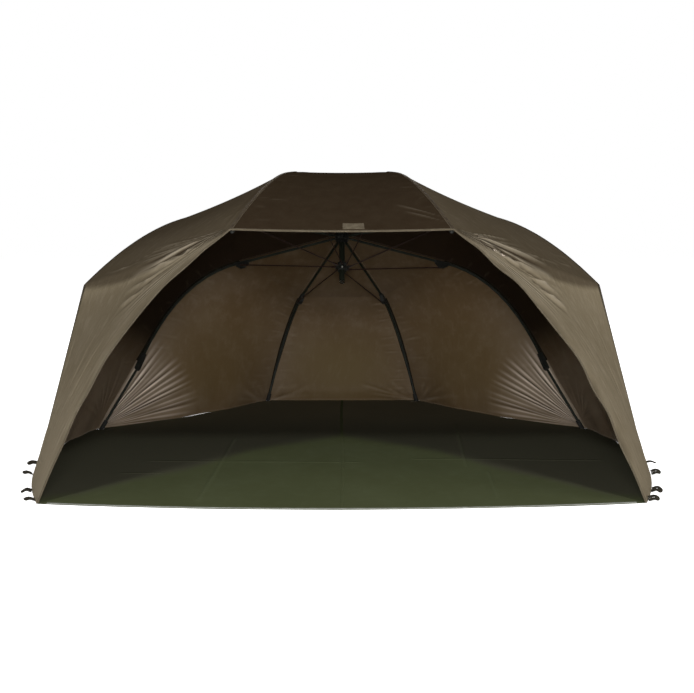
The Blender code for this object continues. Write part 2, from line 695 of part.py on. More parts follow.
def bezier(controls, count):
    """count points along a cubic curve."""
    a, b, c, d = (np.array(list(p)) for p in controls)
    t = np.linspace(0, 1, count)[:, None]
    return (1 - t) ** 3 * a + 3 * t * (1 - t) ** 2 * b + 3 * t * t * (1 - t) * c + t ** 3 * d


def wall_seam(rib, foot):
    """The front side rib's seam, and below its tip the line where the wall turns to the front."""
    points, normals = rib_seam(rib, ROOF_ROWS)
    tip = np.array(list(points[-1]))
    ground = np.array([foot[0], foot[1], CLOTH / 2])
    drop = [tip + (ground - tip) * k / WALL_ROWS for k in range(1, WALL_ROWS + 1)]
    out = Vector((foot[0], 0, 0)).normalized()
    down = Vector(ground - tip).normalized()
    out = (out - down * out.dot(down)).normalized()
    return Seam(list(points) + drop, list(normals) + [out] * WALL_ROWS)


def arch_seam(rib, wall, sign):
    """The front rib's seam, and below its tip the free edge that arches down to the front corner."""
    points, normals = rib_seam(rib, ROOF_ROWS)
    corner = (sign * FRONT_CORNER_HALF_SPAN, -FRONT_CORNER_AHEAD, CLOTH / 2)
    upper = (sign * ARCH_UPPER[0], ARCH_UPPER[1], ARCH_UPPER[2])
    lower = (sign * ARCH_LOWER[0], ARCH_LOWER[1], ARCH_LOWER[2])
    arch = spaced(bezier((points[-1], upper, lower, corner), ARCH_STEPS), WALL_ROWS + 1)
    run = np.gradient(arch, axis=0)
    back = wall.points[ROOF_ROWS:] - arch
    out = np.cross(run, back)
    out *= np.sign(out[:, :1] * sign)
    out /= np.linalg.norm(out, axis=1)[:, None]
    return Seam(list(points) + list(arch[1:]), list(normals) + list(out[1:]))


def smooth_step(t):
    t = min(1.0, max(0.0, t))
    return t * t * (3 - 2 * t)


class Panel:
    """One sewn panel between two seams: a closed skin of cloth with its sag and its main tension folds."""

    def __init__(self, name, first, second, rows, bow=0.0, folds=0.0, on_ground=True):
        self.name = name
        self.rows = rows
        middle = (first.points[: rows + 1].mean(axis=0) + second.points[: rows + 1].mean(axis=0)) / 2
        self.first = first.beside(middle)[: rows + 1]
        self.second = second.beside(middle)[: rows + 1]
        self.first_out = first.normals[: rows + 1]
        self.second_out = second.normals[: rows + 1]
        self.bow = bow
        self.folds = folds
        self.on_ground = on_ground
        self.skins = self.both_faces()

    def middle_grid(self):
        """Points midway through the cloth, as rows from the hub outwards and columns from seam to seam."""
        grid = np.zeros((self.rows + 1, COLUMNS + 1, 3))
        for i in range(self.rows + 1):
            share = max(0, i - 1) / (self.rows - 1)
            sag = ROOF_SAG * math.sin(math.pi * share / (1 if self.on_ground else 2))
            for j in range(COLUMNS + 1):
                u = j / COLUMNS
                hump = 4 * u * (1 - u)
                out = self.first_out[i] * (1 - u) + self.second_out[i] * u
                flat = np.array([out[0], out[1], 0.0])
                flat /= np.linalg.norm(flat)
                spot = self.first[i] * (1 - u) + self.second[i] * u - out * sag * hump
                spot += flat * self.bow * hump * smooth_step(2 * share - 1)
                fold = math.sin(2 * math.pi * WALL_FOLDS * u) * hump * smooth_step(3 * share - 2)
                grid[i, j] = spot + out * self.folds * fold
        return grid

    def both_faces(self):
        """The outer and inner faces, square to the cloth inside and in the seams' planes along them."""
        grid = self.middle_grid()
        out = np.cross(np.gradient(grid, axis=0), np.gradient(grid, axis=1))
        out /= np.linalg.norm(out, axis=2)[:, :, None]
        out *= np.sign((out * (self.first_out + self.second_out)[:, None, :]).sum(axis=2))[:, :, None]
        out[:, 0] = self.first_out
        out[:, -1] = self.second_out
        outer, inner = grid + out * CLOTH / 2, grid - out * CLOTH / 2
        if self.on_ground:
            outer[-1, :, 2] = 0
            inner[-1, :, 2] = 0
        return outer, inner

    def build(self, mats):
        bm = bmesh.new()
        faces = [[[bm.verts.new(spot) for spot in row] for row in skin] for skin in self.skins]
        outer, inner = faces
        for i in range(self.rows):
            for j in range(COLUMNS):
                bm.faces.new((outer[i][j], outer[i][j + 1], outer[i + 1][j + 1], outer[i + 1][j]))
                bm.faces.new((inner[i][j], inner[i + 1][j], inner[i + 1][j + 1], inner[i][j + 1]))
        for i in range(self.rows):
            for j in (0, COLUMNS):
                bm.faces.new((outer[i][j], outer[i + 1][j], inner[i + 1][j], inner[i][j]))
        for j in range(COLUMNS):
            for i in (0, self.rows):
                bm.faces.new((outer[i][j], inner[i][j], inner[i][j + 1], outer[i][j + 1]))
        return add_object(f"canopy_{self.name}", bm, HUB, mats["canopy"])

    def hem(self):
        """The hem on the ground, midway through the cloth, as points of (x, y)."""
        outer, inner = self.skins
        return ((outer[-1] + inner[-1]) / 2)[:, :2]

    def hem_spot(self, share):
        """The outer foot of the hem at a share of the way along it, and the way out from it."""
        outer = self.skins[0][-1]
        j = min(COLUMNS - 1, int(share * COLUMNS))
        run = Vector(outer[j + 1] - outer[j])
        out = Vector((run.y, -run.x, 0)).normalized()
        spot = Vector((outer[j] + outer[j + 1]) / 2)
        if out.dot(Vector((spot.x, spot.y - HUB_SETBACK / 2, 0))) < 0:
            out = -out
        return spot, out


def make_canopy(all_ribs, mats):
    """All eight panels, and by name those that reach the ground."""
    rows = ROOF_ROWS + WALL_ROWS
    seams = {}
    for side, sign in SIDES:
        for kind in ("back", "side"):
            seams[kind, side] = Seam(*rib_seam(all_ribs[f"{kind}_{side}"], rows))
        foot = (sign * WALL_FOOT[0], WALL_FOOT[1])
        seams["front_side", side] = wall_seam(all_ribs[f"front_side_{side}"], foot)
        seams["front", side] = arch_seam(all_ribs[f"front_{side}"], seams["front_side", side], sign)
    panels = [Panel("back", seams["back", "left"], seams["back", "right"], rows)]
    for side, sign in SIDES:
        panels.append(Panel(f"back_side_{side}", seams["back", side], seams["side", side], rows,
                            bow=-BACK_SIDE_BOW_IN, folds=WALL_FOLD))
        panels.append(Panel(f"side_{side}", seams["side", side], seams["front_side", side], rows,
                            bow=SIDE_BOW_OUT, folds=WALL_FOLD))
        panels.append(Panel(f"front_side_{side}", seams["front_side", side], seams["front", side], rows,
                            bow=WALL_BOW_OUT))
    panels.append(Panel("front", seams["front", "left"], seams["front", "right"], ROOF_ROWS, on_ground=False))
    for panel in panels:
        panel.build(mats)
    return {panel.name: panel for panel in panels}


def make_sheet(panels, mats):
    """The groundsheet: a flat cloth inside the hem, whose front edge bows out past the front corners."""
    right = [panels["back"].hem()[COLUMNS // 2:], panels["back_side_right"].hem(), panels["side_right"].hem(),
             panels["front_side_right"].hem()]
    hem = np.concatenate(right)
    keep = [k for k in range(len(hem)) if k == 0 or np.linalg.norm(hem[k] - hem[k - 1]) > LOOP_THICKNESS]
    hem = hem[keep]
    run = np.gradient(hem, axis=0)
    inward = np.stack([run[:, 1], -run[:, 0]], axis=1)
    inward /= np.linalg.norm(inward, axis=1)[:, None]
    inward *= np.sign((inward * (np.array([0, HUB_SETBACK / 2]) - hem)).sum(axis=1))[:, None]
    near_corner = np.array([smooth_step((spot[1] + FRONT_CORNER_AHEAD) / WALL_FOOT[1]) for spot in hem])
    inset = SHEET_CORNER_INSET + (SHEET_INSET - SHEET_CORNER_INSET) * near_corner
    edge = hem + inward * inset[:, None]
    edge[0, 0] = 0
    corner = edge[-1]
    front = []
    for k in range(1, SHEET_FRONT_STEPS):
        x = corner[0] * (1 - 2 * k / SHEET_FRONT_STEPS)
        front.append((x, corner[1] - SHEET_FRONT_BOW * (1 - (x / corner[0]) ** 2)))
    left = [(-x, y) for x, y in edge[:0:-1]]
    outline = [tuple(spot) for spot in edge] + front + left
    bm = bmesh.new()
    slab(bm, outline, lambda a, b, c: Vector((a, b, c)), 0, SHEET_THICKNESS)
    add_object("groundsheet", bm, (0, HUB_SETBACK / 2, 0), mats["sheet"])


def make_loop(name, panel, share, mats):
    """A flat webbing loop for a peg, lying on the ground against the foot of the hem."""
    foot, out = panel.hem_spot(share)
    side = Vector((0, 0, 1)).cross(out)
    half, web = LOOP_HALF_WIDTH, LOOP_WEB
    base, end = GAP, LOOP_LENGTH
    outer = [(base, -half)] + arc((end - half, 0), half, -math.pi / 2, math.pi / 2) + [(base, half)]
    slot = half - web
    inner = [(base + web, -slot)] + arc((end - half, 0), slot, -math.pi / 2, math.pi / 2) + [(base + web, slot)]
    bm = bmesh.new()
    levels = []
    for height in (0, LOOP_THICKNESS):
        rise = Vector((0, 0, height))
        levels.append([[bm.verts.new(foot + out * a + side * b + rise) for a, b in ring] for ring in (outer, inner)])
    count = len(outer)
    for k in range(count):
        nxt = (k + 1) % count
        for low, high in zip(*levels):
            bm.faces.new((low[k], low[nxt], high[nxt], high[k]))
        for level in levels:
            bm.faces.new((level[0][k], level[0][nxt], level[1][nxt], level[1][k]))
    return add_object(f"peg_loop_{name}", bm, foot, mats["webbing"])


def centre_on_footprint():
    """Moves everything so that the origin is under the middle of the object, on the ground."""
    shown = [item for item in bpy.data.objects if not item.hide_render]
    bpy.context.view_layer.update()
    corners = [item.matrix_world @ Vector(corner) for item in shown for corner in item.bound_box]
    low = [min(corner[k] for corner in corners) for k in range(3)]
    high = [max(corner[k] for corner in corners) for k in range(3)]
    shift = Vector(((low[0] + high[0]) / 2, (low[1] + high[1]) / 2, low[2]))
    for item in bpy.data.objects:
        item.location -= shift


def main():
    for item in list(bpy.data.objects):
        bpy.data.objects.remove(item, do_unlink=True)
    mats = palette()
    all_ribs = ribs()
    make_hub(all_ribs, mats)
    make_cap(mats)
    make_tube(mats)
    make_runner(all_ribs, mats)
    for rib in all_ribs.values():
        make_rib(rib, mats)
        make_bracket(rib, mats)
        make_strut(rib, mats)
        if rib.name.startswith("side"):
            make_leg(rib, mats)
            make_foot(rib, leg_end(), plane_unit(rib.end, leg_end()), mats)
        elif rib.name.startswith("back"):
            make_foot(rib, rib.end, rib.end_way, mats)
        else:
            make_tip(rib, mats)
    panels = make_canopy(all_ribs, mats)
    make_sheet(panels, mats)
    for side, _ in SIDES:
        for place, share in LOOP_SHARES.items():
            make_loop(f"{place}_{side}", panels[f"front_side_{side}"], share, mats)
    centre_on_footprint()


main()
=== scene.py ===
"""Oval fishing umbrella shelter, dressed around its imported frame.

The canopy is worked out as eight sewn panels between the ribs' seams, and parted along the middle of each
panel, so that the cloth on either side of a rib folds with that rib. Seams, tapes and hems are strips laid on
the same surface. Places are in the umbrella's own terms: an azimuth round its leaning axis counted from
straight back, a radius from the axis and a drop below the hub along it. All lengths are in metres.
"""
import json
import logging
import math
from dataclasses import dataclass, field
from enum import Enum
from typing import Callable, ClassVar, Sequence, Union

import bpy
import numpy as np
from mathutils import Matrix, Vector


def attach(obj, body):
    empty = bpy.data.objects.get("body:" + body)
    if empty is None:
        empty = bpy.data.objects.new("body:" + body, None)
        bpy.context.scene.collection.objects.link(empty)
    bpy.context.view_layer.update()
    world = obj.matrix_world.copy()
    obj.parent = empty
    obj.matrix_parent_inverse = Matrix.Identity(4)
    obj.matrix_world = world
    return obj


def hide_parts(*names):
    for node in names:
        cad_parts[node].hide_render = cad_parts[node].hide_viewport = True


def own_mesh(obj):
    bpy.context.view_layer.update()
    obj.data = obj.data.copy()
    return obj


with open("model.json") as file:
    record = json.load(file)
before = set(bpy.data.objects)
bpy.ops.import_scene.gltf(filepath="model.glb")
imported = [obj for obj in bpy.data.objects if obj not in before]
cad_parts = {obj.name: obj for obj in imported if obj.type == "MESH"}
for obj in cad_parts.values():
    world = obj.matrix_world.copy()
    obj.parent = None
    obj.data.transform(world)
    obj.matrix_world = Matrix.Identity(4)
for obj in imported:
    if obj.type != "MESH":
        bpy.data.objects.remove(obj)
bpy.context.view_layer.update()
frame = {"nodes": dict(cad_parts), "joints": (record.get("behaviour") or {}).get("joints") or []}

log = logging.getLogger("umbrella")

Pair = tuple[float, float]
Colour = tuple[float, float, float]
Value = Union[float, Sequence[float], "Flow"]

MM = 0.001
FULL_TURN = 2 * math.pi
SIDES = (("left", -1), ("right", 1))
UP = np.array([0.0, 0.0, 1.0])
LEVEL = np.array([1.0, 1.0, 0.0])


class Flow:
    """A node's output that Python's operators work on. Each operator adds a Math node."""

    def __init__(self, bench: "Bench", socket: bpy.types.NodeSocket) -> None:
        """Keeps the output and the bench that its nodes are made on."""
        self.bench = bench
        self.socket = socket

    def combined(self, operation: str, *values: Value) -> "Flow":
        """The result of a Math node on the given values."""
        return self.bench.node("Math", {"operation": operation}, dict(enumerate(values)))

    def __add__(self, other: Value) -> "Flow":
        """Sum."""
        return self.combined("ADD", self, other)

    def __radd__(self, other: Value) -> "Flow":
        """Sum with a number in front."""
        return self.combined("ADD", other, self)

    def __sub__(self, other: Value) -> "Flow":
        """Difference."""
        return self.combined("SUBTRACT", self, other)

    def __rsub__(self, other: Value) -> "Flow":
        """Difference from a number."""
        return self.combined("SUBTRACT", other, self)

    def __mul__(self, other: Value) -> "Flow":
        """Product."""
        return self.combined("MULTIPLY", self, other)

    def __rmul__(self, other: Value) -> "Flow":
        """Product with a number in front."""
        return self.combined("MULTIPLY", other, self)

    def __truediv__(self, other: Value) -> "Flow":
        """Quotient."""
        return self.combined("DIVIDE", self, other)

    def __rtruediv__(self, other: Value) -> "Flow":
        """A number divided by this."""
        return self.combined("DIVIDE", other, self)

    def __pow__(self, other: Value) -> "Flow":
        """Power."""
        return self.combined("POWER", self, other)

    def __gt__(self, other: Value) -> "Flow":
        """1 where this is greater, else 0."""
        return self.combined("GREATER_THAN", self, other)

    def __lt__(self, other: Value) -> "Flow":
        """1 where this is less, else 0."""
        return self.combined("LESS_THAN", self, other)

    def wave(self) -> "Flow":
        """Sine, brought to 0 to 1."""
        return self.combined("SINE", self) * 0.5 + 0.5

    def fraction(self) -> "Flow":
        """The part after the decimal point."""
        return self.combined("FRACT", self)

    def power_of(self, base: float) -> "Flow":
        """A number raised to this."""
        return self.combined("POWER", base, self)

    def greater(self, other: Value) -> "Flow":
        """The greater of the two."""
        return self.combined("MAXIMUM", self, other)

    def held(self) -> "Flow":
        """The value kept between 0 and 1."""
        return self.bench.node("Clamp", {}, {"Value": self})

    def span(self, low: float, high: float) -> "Flow":
        """A smooth step.

        Args:
            low: where it is 0.
            high: where it is 1.

        Returns:
            The step from 0 to 1.
        """
        return self.bench.node(
            "MapRange",
            {"interpolation_type": "SMOOTHSTEP"},
            {"Value": self, "From Min": low, "From Max": high},
        )


class Bench:
    """Where the nodes of one tree are put together."""

    def __init__(self, tree: bpy.types.NodeTree) -> None:
        """Keeps the tree."""
        self.tree = tree

    def node(self, kind: str, settings: dict, sockets: dict, out: Union[int, str] = 0) -> Flow:
        """Adds any node.

        Args:
            kind: the node's type without its ShaderNode prefix.
            settings: the node's own properties.
            sockets: the value or the link of each input, by name or number.
            out: the output that is wanted.

        Returns:
            The wanted output.
        """
        made = self.tree.nodes.new(f"ShaderNode{kind}")
        for key, value in settings.items():
            setattr(made, key, value)
        for key, value in sockets.items():
            self.feed(made.inputs[key], value)
        return Flow(self, made.outputs[out])

    def feed(self, socket: bpy.types.NodeSocket, value: Value) -> None:
        """Links a flow to an input, or sets its number or colour.

        Args:
            socket: the input.
            value: the flow, number, vector or colour.
        """
        if isinstance(value, Flow):
            self.tree.links.new(value.socket, socket)
        elif isinstance(value, (int, float)):
            socket.default_value = value
        else:
            numbers = tuple(value)
            if socket.type == "RGBA" and len(numbers) == 3:
                numbers += (1.0,)
            socket.default_value = numbers

    def outputs(self, flow: Flow, names: Sequence[str]) -> tuple[Flow, ...]:
        """Several outputs of the node that a flow comes from."""
        return tuple(Flow(self, flow.socket.node.outputs[name]) for name in names)

    def background_ray(self) -> Flow:
        """1 for a ray that shows the background: from the camera, a gloss or a clear body. Else 0."""
        rays = ("Is Camera Ray", "Is Glossy Ray", "Is Transmission Ray")
        camera, glossy, through_body = self.outputs(self.node("LightPath", {}, {}), rays)
        return camera.greater(glossy).greater(through_body)


class MaterialBench(Bench):
    """Where one material's nodes are put together."""

    def __init__(self, name: str) -> None:
        """Makes an empty material with a Principled surface.

        Args:
            name: the material's name.
        """
        self.material = bpy.data.materials.new(name)
        self.material.use_nodes = True
        super().__init__(self.material.node_tree)
        self.surface = self.tree.nodes["Principled BSDF"]

    def layered(self, colour: Value, *layers: tuple[Flow, Value]) -> Flow:
        """A colour with others laid over it in turn.

        Args:
            colour: the first colour.
            layers: the share and the colour of each that follows.

        Returns:
            The mixed colour.
        """
        for share, over in layers:
            colour = self.node("Mix", {"data_type": "RGBA"}, {0: share.held(), 6: colour, 7: over}, 2)
        return colour

    def place(self) -> Flow:
        """The point in the object's own space, which is the row frame at rest."""
        return self.node("TexCoord", {}, {}, "Object")

    def mark(self, name: str) -> tuple[Flow, Flow, Flow]:
        """The three numbers of one of the mesh's own marks."""
        vector = self.node("Attribute", {"attribute_name": name}, {}, "Vector")
        return self.outputs(self.node("SeparateXYZ", {}, {"Vector": vector}), "XYZ")

    def scaled(self, x: Flow, y: Flow, factors: Pair) -> Flow:
        """A vector of two numbers, each times its factor."""
        return self.node("CombineXYZ", {}, {"X": x * factors[0], "Y": y * factors[1]})

    def noise(self, scale: float, detail: float, rough: float = 0.5, at: Union[Flow, None] = None) -> Flow:
        """Cloudy noise of 0 to 1 with that many clouds to the metre."""
        where = self.place() if at is None else at
        sockets = {"Vector": where, "Scale": scale, "Detail": detail, "Roughness": rough}
        return self.node("TexNoise", {}, sockets)

    def stretched(self, factors: Sequence[float]) -> Flow:
        """The object's own space scaled along each axis."""
        return self.node("Mapping", {}, {"Vector": self.place(), "Scale": factors})

    def bump(self, height: Flow, depth: float, strength: float = 1.0) -> Flow:
        """A normal that follows a height of 0 to 1 over that depth."""
        return self.node("Bump", {}, {"Strength": strength, "Distance": depth, "Height": height}, "Normal")

    def finish(self, **sockets: Value) -> bpy.types.Material:
        """Sets the surface's sockets, with _ for a space in their names.

        Returns:
            The finished material.
        """
        for key, value in sockets.items():
            self.feed(self.surface.inputs[key.replace("_", " ")], value)
        return self.material


@dataclass(frozen=True)
class ClothFinish:
    """Proofed polyester: a fine plain weave, cloudy wear, painted highlights and shade on its folds, painted
    tones by place.
    """

    name: str
    colour: Colour
    # pale serves wear, thread, painted light and painted highlights; deep is the colour of the painted shade
    # and glow of the painted glow.
    pale: Colour
    deep: Colour
    glow: Colour = (0.0, 0.0, 0.0)
    face: str = "outer"
    roughness: float = 0.60
    shine: float = 0.0
    weave: float = 1.1 * MM
    weave_depth: float = 0.12 * MM
    cloud_scale: float = 2.3
    grime_scale: float = 17.0
    mottle: float = 0.22
    crinkle: float = 0.9 * MM
    crinkle_scale: Pair = (36.0, 11.0)
    streaky: float = 0.05
    fan_depth: float = 7 * MM
    fan_rays: float = 76.0
    fan_bend: float = 12.0
    fan_bend_scale: Pair = (4.2, 1.1)
    fan_lot_scale: Pair = (9.0, 1.2)
    fan_faint: float = 0.15
    # The next two: a painted highlight over the whole fan, and the colour of the painted highlights on its
    # ridges.
    fan_lift: float = 0.0
    fan_highlight: Colour = (0.27, 0.23, 0.17)
    ridge_power: float = 2.2
    valley_power: float = 5.0
    valley_turn: float = math.pi * 0.8
    stitch_row: float = 8 * MM
    stitch_pitch: float = 4.2 * MM
    stitch_gap: float = 0.28
    thread_core: float = 0.4 * MM
    thread_edge: float = 1.4 * MM
    packed: tuple[tuple[float, float, float, float], ...] = ()
    packed_width: float = 9 * MM
    packed_depth: float = 2.6 * MM
    packed_end: float = 0.05

    def make(self) -> bpy.types.Material:
        """Builds the material.

        Returns:
            A material for a mesh with the marks cut (across, along, fold), edge (seam, hem), fan (turn,
            reach, pull) and one for the face (painted shade, painted light, painted glow).
        """
        bench = MaterialBench(self.name)
        across, along, fold = bench.mark("cut")
        # The face's marks: painted shade, painted light and painted glow by place.
        dark, painted_light, painted_glow = bench.mark(self.face)
        pull = bench.mark("fan")[2]
        ridge, valley = self.fan_folds(bench)
        crinkled = bench.noise(1.0, 4.0, 0.65, bench.scaled(across, along, self.crinkle_scale))
        clouds = bench.noise(self.cloud_scale, 4.0, 0.55)
        grime = bench.noise(self.grime_scale, 3.0, 0.6)
        turns = FULL_TURN / self.weave
        threads = (across * turns).wave() * (along * turns).wave()
        worn = (clouds.span(0.35, 0.7) * self.mottle + grime.span(0.45, 0.75) * self.mottle * 0.6).held()
        # Painted highlights: the crinkles' raised parts turn paler, by streaky, and not in the painted shade.
        streaks = crinkled.span(0.48, 0.75) * (1 - dark) * self.streaky
        thread = self.stitches(bench, across, along)
        base = bench.layered(
            self.colour,
            (worn, self.pale),
            # Painted light, painted shade and painted glow, laid by place.
            (painted_light * (0.75 + clouds * 0.5), self.pale),
            (dark * (0.95 + grime * 0.1), self.deep),
            (painted_glow * (0.7 + clouds * 0.5), self.glow),
            # Painted highlights on the ridges of the folds, crinkles and fan, and painted shade in the fold
            # and fan valleys.
            (fold * 0.35 + streaks, self.pale),
            ((ridge + self.fan_lift) * pull, self.fan_highlight),
            (fold * -0.5 + valley * pull * 0.8, self.deep),
            (thread * 0.55, self.pale),
        )
        relief = (threads * 0.5 + grime * 0.3 + thread * 0.6) * self.weave_depth
        if self.packed:
            marks = self.packed_folds(across, along)
            base = bench.layered(base, (marks * clouds * 0.3, self.pale))
            relief = relief + marks * self.packed_depth
        calm = 1 - dark * 0.8
        height = relief + (ridge - valley) * pull * self.fan_depth + crinkled * calm * self.crinkle
        return bench.finish(
            Base_Color=base,
            Roughness=self.roughness + (clouds - 0.5) * 0.16 - worn * 0.05,
            Specular_IOR_Level=self.shine,
            Normal=bench.bump(height, 1.0, 0.9),
        )

    def fan_folds(self, bench: MaterialBench) -> tuple[Flow, Flow]:
        """The fine folds that fan out from a foot, bent and unevenly bold.

        Args:
            bench: where the cloth's nodes are made.

        Returns:
            The ridges, which take painted highlights, and the valleys, which take painted shade.
        """
        turn, reach, _ = bench.mark("fan")
        bent = bench.noise(1.0, 2.0, 0.5, bench.scaled(turn, reach, self.fan_bend_scale))
        lots = bench.noise(1.0, 1.0, 0.5, bench.scaled(turn, reach, self.fan_lot_scale))
        bold = lots.span(0.38, 0.58) * (1 - self.fan_faint) + self.fan_faint
        phase = turn * self.fan_rays + bent * self.fan_bend
        ridge = phase.wave() ** self.ridge_power * bold
        valley = (phase + self.valley_turn).wave() ** self.valley_power * bold
        return ridge, valley

    def stitches(self, bench: MaterialBench, across: Flow, along: Flow) -> Flow:
        """The thread beside each seam and above each hem.

        Args:
            bench: where the cloth's nodes are made.
            across: the place across the cloth.
            along: the place along it.

        Returns:
            1 on the dashes of thread, and 0 elsewhere.
        """
        seam, hem, _ = bench.mark("edge")
        row, core, edge = self.stitch_row, self.thread_core, self.thread_edge
        total: Value = 0.0
        for gap, run in ((seam, along), (hem, across)):
            near = gap.span(row + edge, row + core) * gap.span(row - edge, row - core)
            total = near * ((run / self.stitch_pitch).fraction() > self.stitch_gap) + total
        return total.held()

    def packed_folds(self, x: Flow, y: Flow) -> Flow:
        """The marks that packing left, each a line from one point to another.

        Args:
            x: the place across the cloth.
            y: the place along it.

        Returns:
            1 on the folds and 0 beside them.
        """
        total: Value = 0.0
        for x0, y0, x1, y1 in self.packed:
            length = math.hypot(x1 - x0, y1 - y0)
            dx, dy = (x1 - x0) / length, (y1 - y0) / length
            run = (x - x0) * dx + (y - y0) * dy
            off = ((x - x0) * dy - (y - y0) * dx) / self.packed_width
            ends = run.span(0.0, self.packed_end) * run.span(length, length - self.packed_end)
            total = (off * off * -1.0).power_of(math.e) * ends + total
        return total


@dataclass(frozen=True)
class WebbingFinish:
    """Woven tape or webbing: chevrons of yarn with painted shade between them, a paler edge and a little
    dust.
    """

    name: str
    colour: Colour
    pale: Colour
    gap: Colour = (0.012, 0.011, 0.008)
    rib: float = 1.5 * MM
    worn_edge: float = 1.5 * MM
    roughness: float = 0.78
    shine: float = 0.04
    depth: float = 0.35 * MM

    def make(self) -> bpy.types.Material:
        """Builds the material.

        Returns:
            A material for a strip with the marks cut (across, along) and edge (distance from its side).
        """
        bench = MaterialBench(self.name)
        across, along, _ = bench.mark("cut")
        side = bench.mark("edge")[0]
        zigzag = (across * (FULL_TURN / (4 * self.rib))).wave() * 2.2
        chevron = (along * (FULL_TURN / self.rib) + zigzag).wave()
        dust = bench.noise(31.0, 3.0, 0.6)
        wear = bench.noise(5.0, 2.0, 0.5)
        base = bench.layered(
            self.colour,
            (dust.span(0.4, 0.75) * 0.6 + wear * 0.25, self.pale),
            # Painted shade in the grooves between the chevrons.
            ((1 - chevron) * 0.28, self.gap),
            (side.span(self.worn_edge, 0.0) * 0.35, self.pale),
        )
        return bench.finish(
            Base_Color=base,
            Roughness=self.roughness + dust * 0.1,
            Specular_IOR_Level=self.shine,
            Normal=bench.bump(chevron * 0.7 + dust * 0.3, self.depth, 0.7),
        )


@dataclass(frozen=True)
class CoatedSteelFinish:
    """Powder-coated steel tube: a slight orange peel, rubbed and scratched where pieces slide on it."""

    name: str
    colour: Colour
    rubbed: Colour
    roughness: float = 0.46
    shine: float = 0.22
    peel_depth: float = 0.08 * MM

    def make(self) -> bpy.types.Material:
        """Builds the material.

        Returns:
            A material for the painted pieces of the frame.
        """
        bench = MaterialBench(self.name)
        peel = bench.noise(620.0, 2.0, 0.5)
        clouds = bench.noise(9.0, 4.0, 0.6)
        scuffs = bench.noise(160.0, 5.0, 0.75, bench.stretched((1.0, 0.35, 0.35)))
        rubbed = (scuffs.span(0.6, 0.72) * clouds.span(0.45, 0.7)).held()
        dust = clouds.span(0.5, 0.85) * 0.35
        dusty = tuple(2.2 * part for part in self.colour)
        base = bench.layered(self.colour, (dust, dusty), (rubbed * 0.6, self.rubbed))
        return bench.finish(
            Base_Color=base,
            Metallic=rubbed * 0.6,
            Roughness=(self.roughness + clouds * 0.18 - rubbed * 0.1).held(),
            Specular_IOR_Level=self.shine,
            Normal=bench.bump(peel * 0.6 - rubbed * 0.5, self.peel_depth, 0.5),
        )


@dataclass(frozen=True)
class MouldedFinish:
    """Glass-filled nylon or rubber: a fine spark-eroded grain with handling marks."""

    name: str
    colour: Colour
    pale: Colour
    roughness: float = 0.55
    shine: float = 0.25
    grain: float = 900.0
    grain_depth: float = 0.10 * MM

    def make(self) -> bpy.types.Material:
        """Builds the material.

        Returns:
            A material for moulded pieces.
        """
        bench = MaterialBench(self.name)
        grain = bench.noise(self.grain, 3.0, 0.6)
        flow = bench.noise(24.0, 4.0, 0.6, bench.stretched((1.0, 1.0, 2.6)))
        marks = bench.noise(75.0, 5.0, 0.8).span(0.58, 0.7)
        base = bench.layered(self.colour, (flow.span(0.4, 0.8) * 0.5 + marks * 0.4, self.pale))
        return bench.finish(
            Base_Color=base,
            Roughness=(self.roughness + grain * 0.14 + marks * 0.08).held(),
            Specular_IOR_Level=self.shine,
            Normal=bench.bump(grain * 0.8 + marks * 0.4, self.grain_depth, 0.6),
        )


@dataclass(frozen=True)
class BrightFinish:
    """Plated brass or aluminium turned on a lathe: fine rings round the umbrella's axis and dull spots."""

    name: str
    colour: Colour
    dull: Colour
    ring: float = 0.9 * MM
    ring_depth: float = 0.12 * MM

    def make(self, along: Vector) -> bpy.types.Material:
        """Builds the material.

        Args:
            along: the turned piece's own axis.

        Returns:
            A material for bright pieces.
        """
        bench = MaterialBench(self.name)
        sockets = {0: bench.place(), 1: tuple(along)}
        run = bench.node("VectorMath", {"operation": "DOT_PRODUCT"}, sockets, "Value")
        rings = (run * (FULL_TURN / self.ring)).wave()
        spots = bench.noise(55.0, 4.0, 0.7)
        tarnish = spots.span(0.48, 0.72)
        return bench.finish(
            Base_Color=bench.layered(self.colour, (tarnish * 0.7, self.dull)),
            Metallic=1 - tarnish * 0.25,
            Roughness=(0.24 + tarnish * 0.3 + rings * 0.08).held(),
            Normal=bench.bump(rings, self.ring_depth, 0.5),
        )


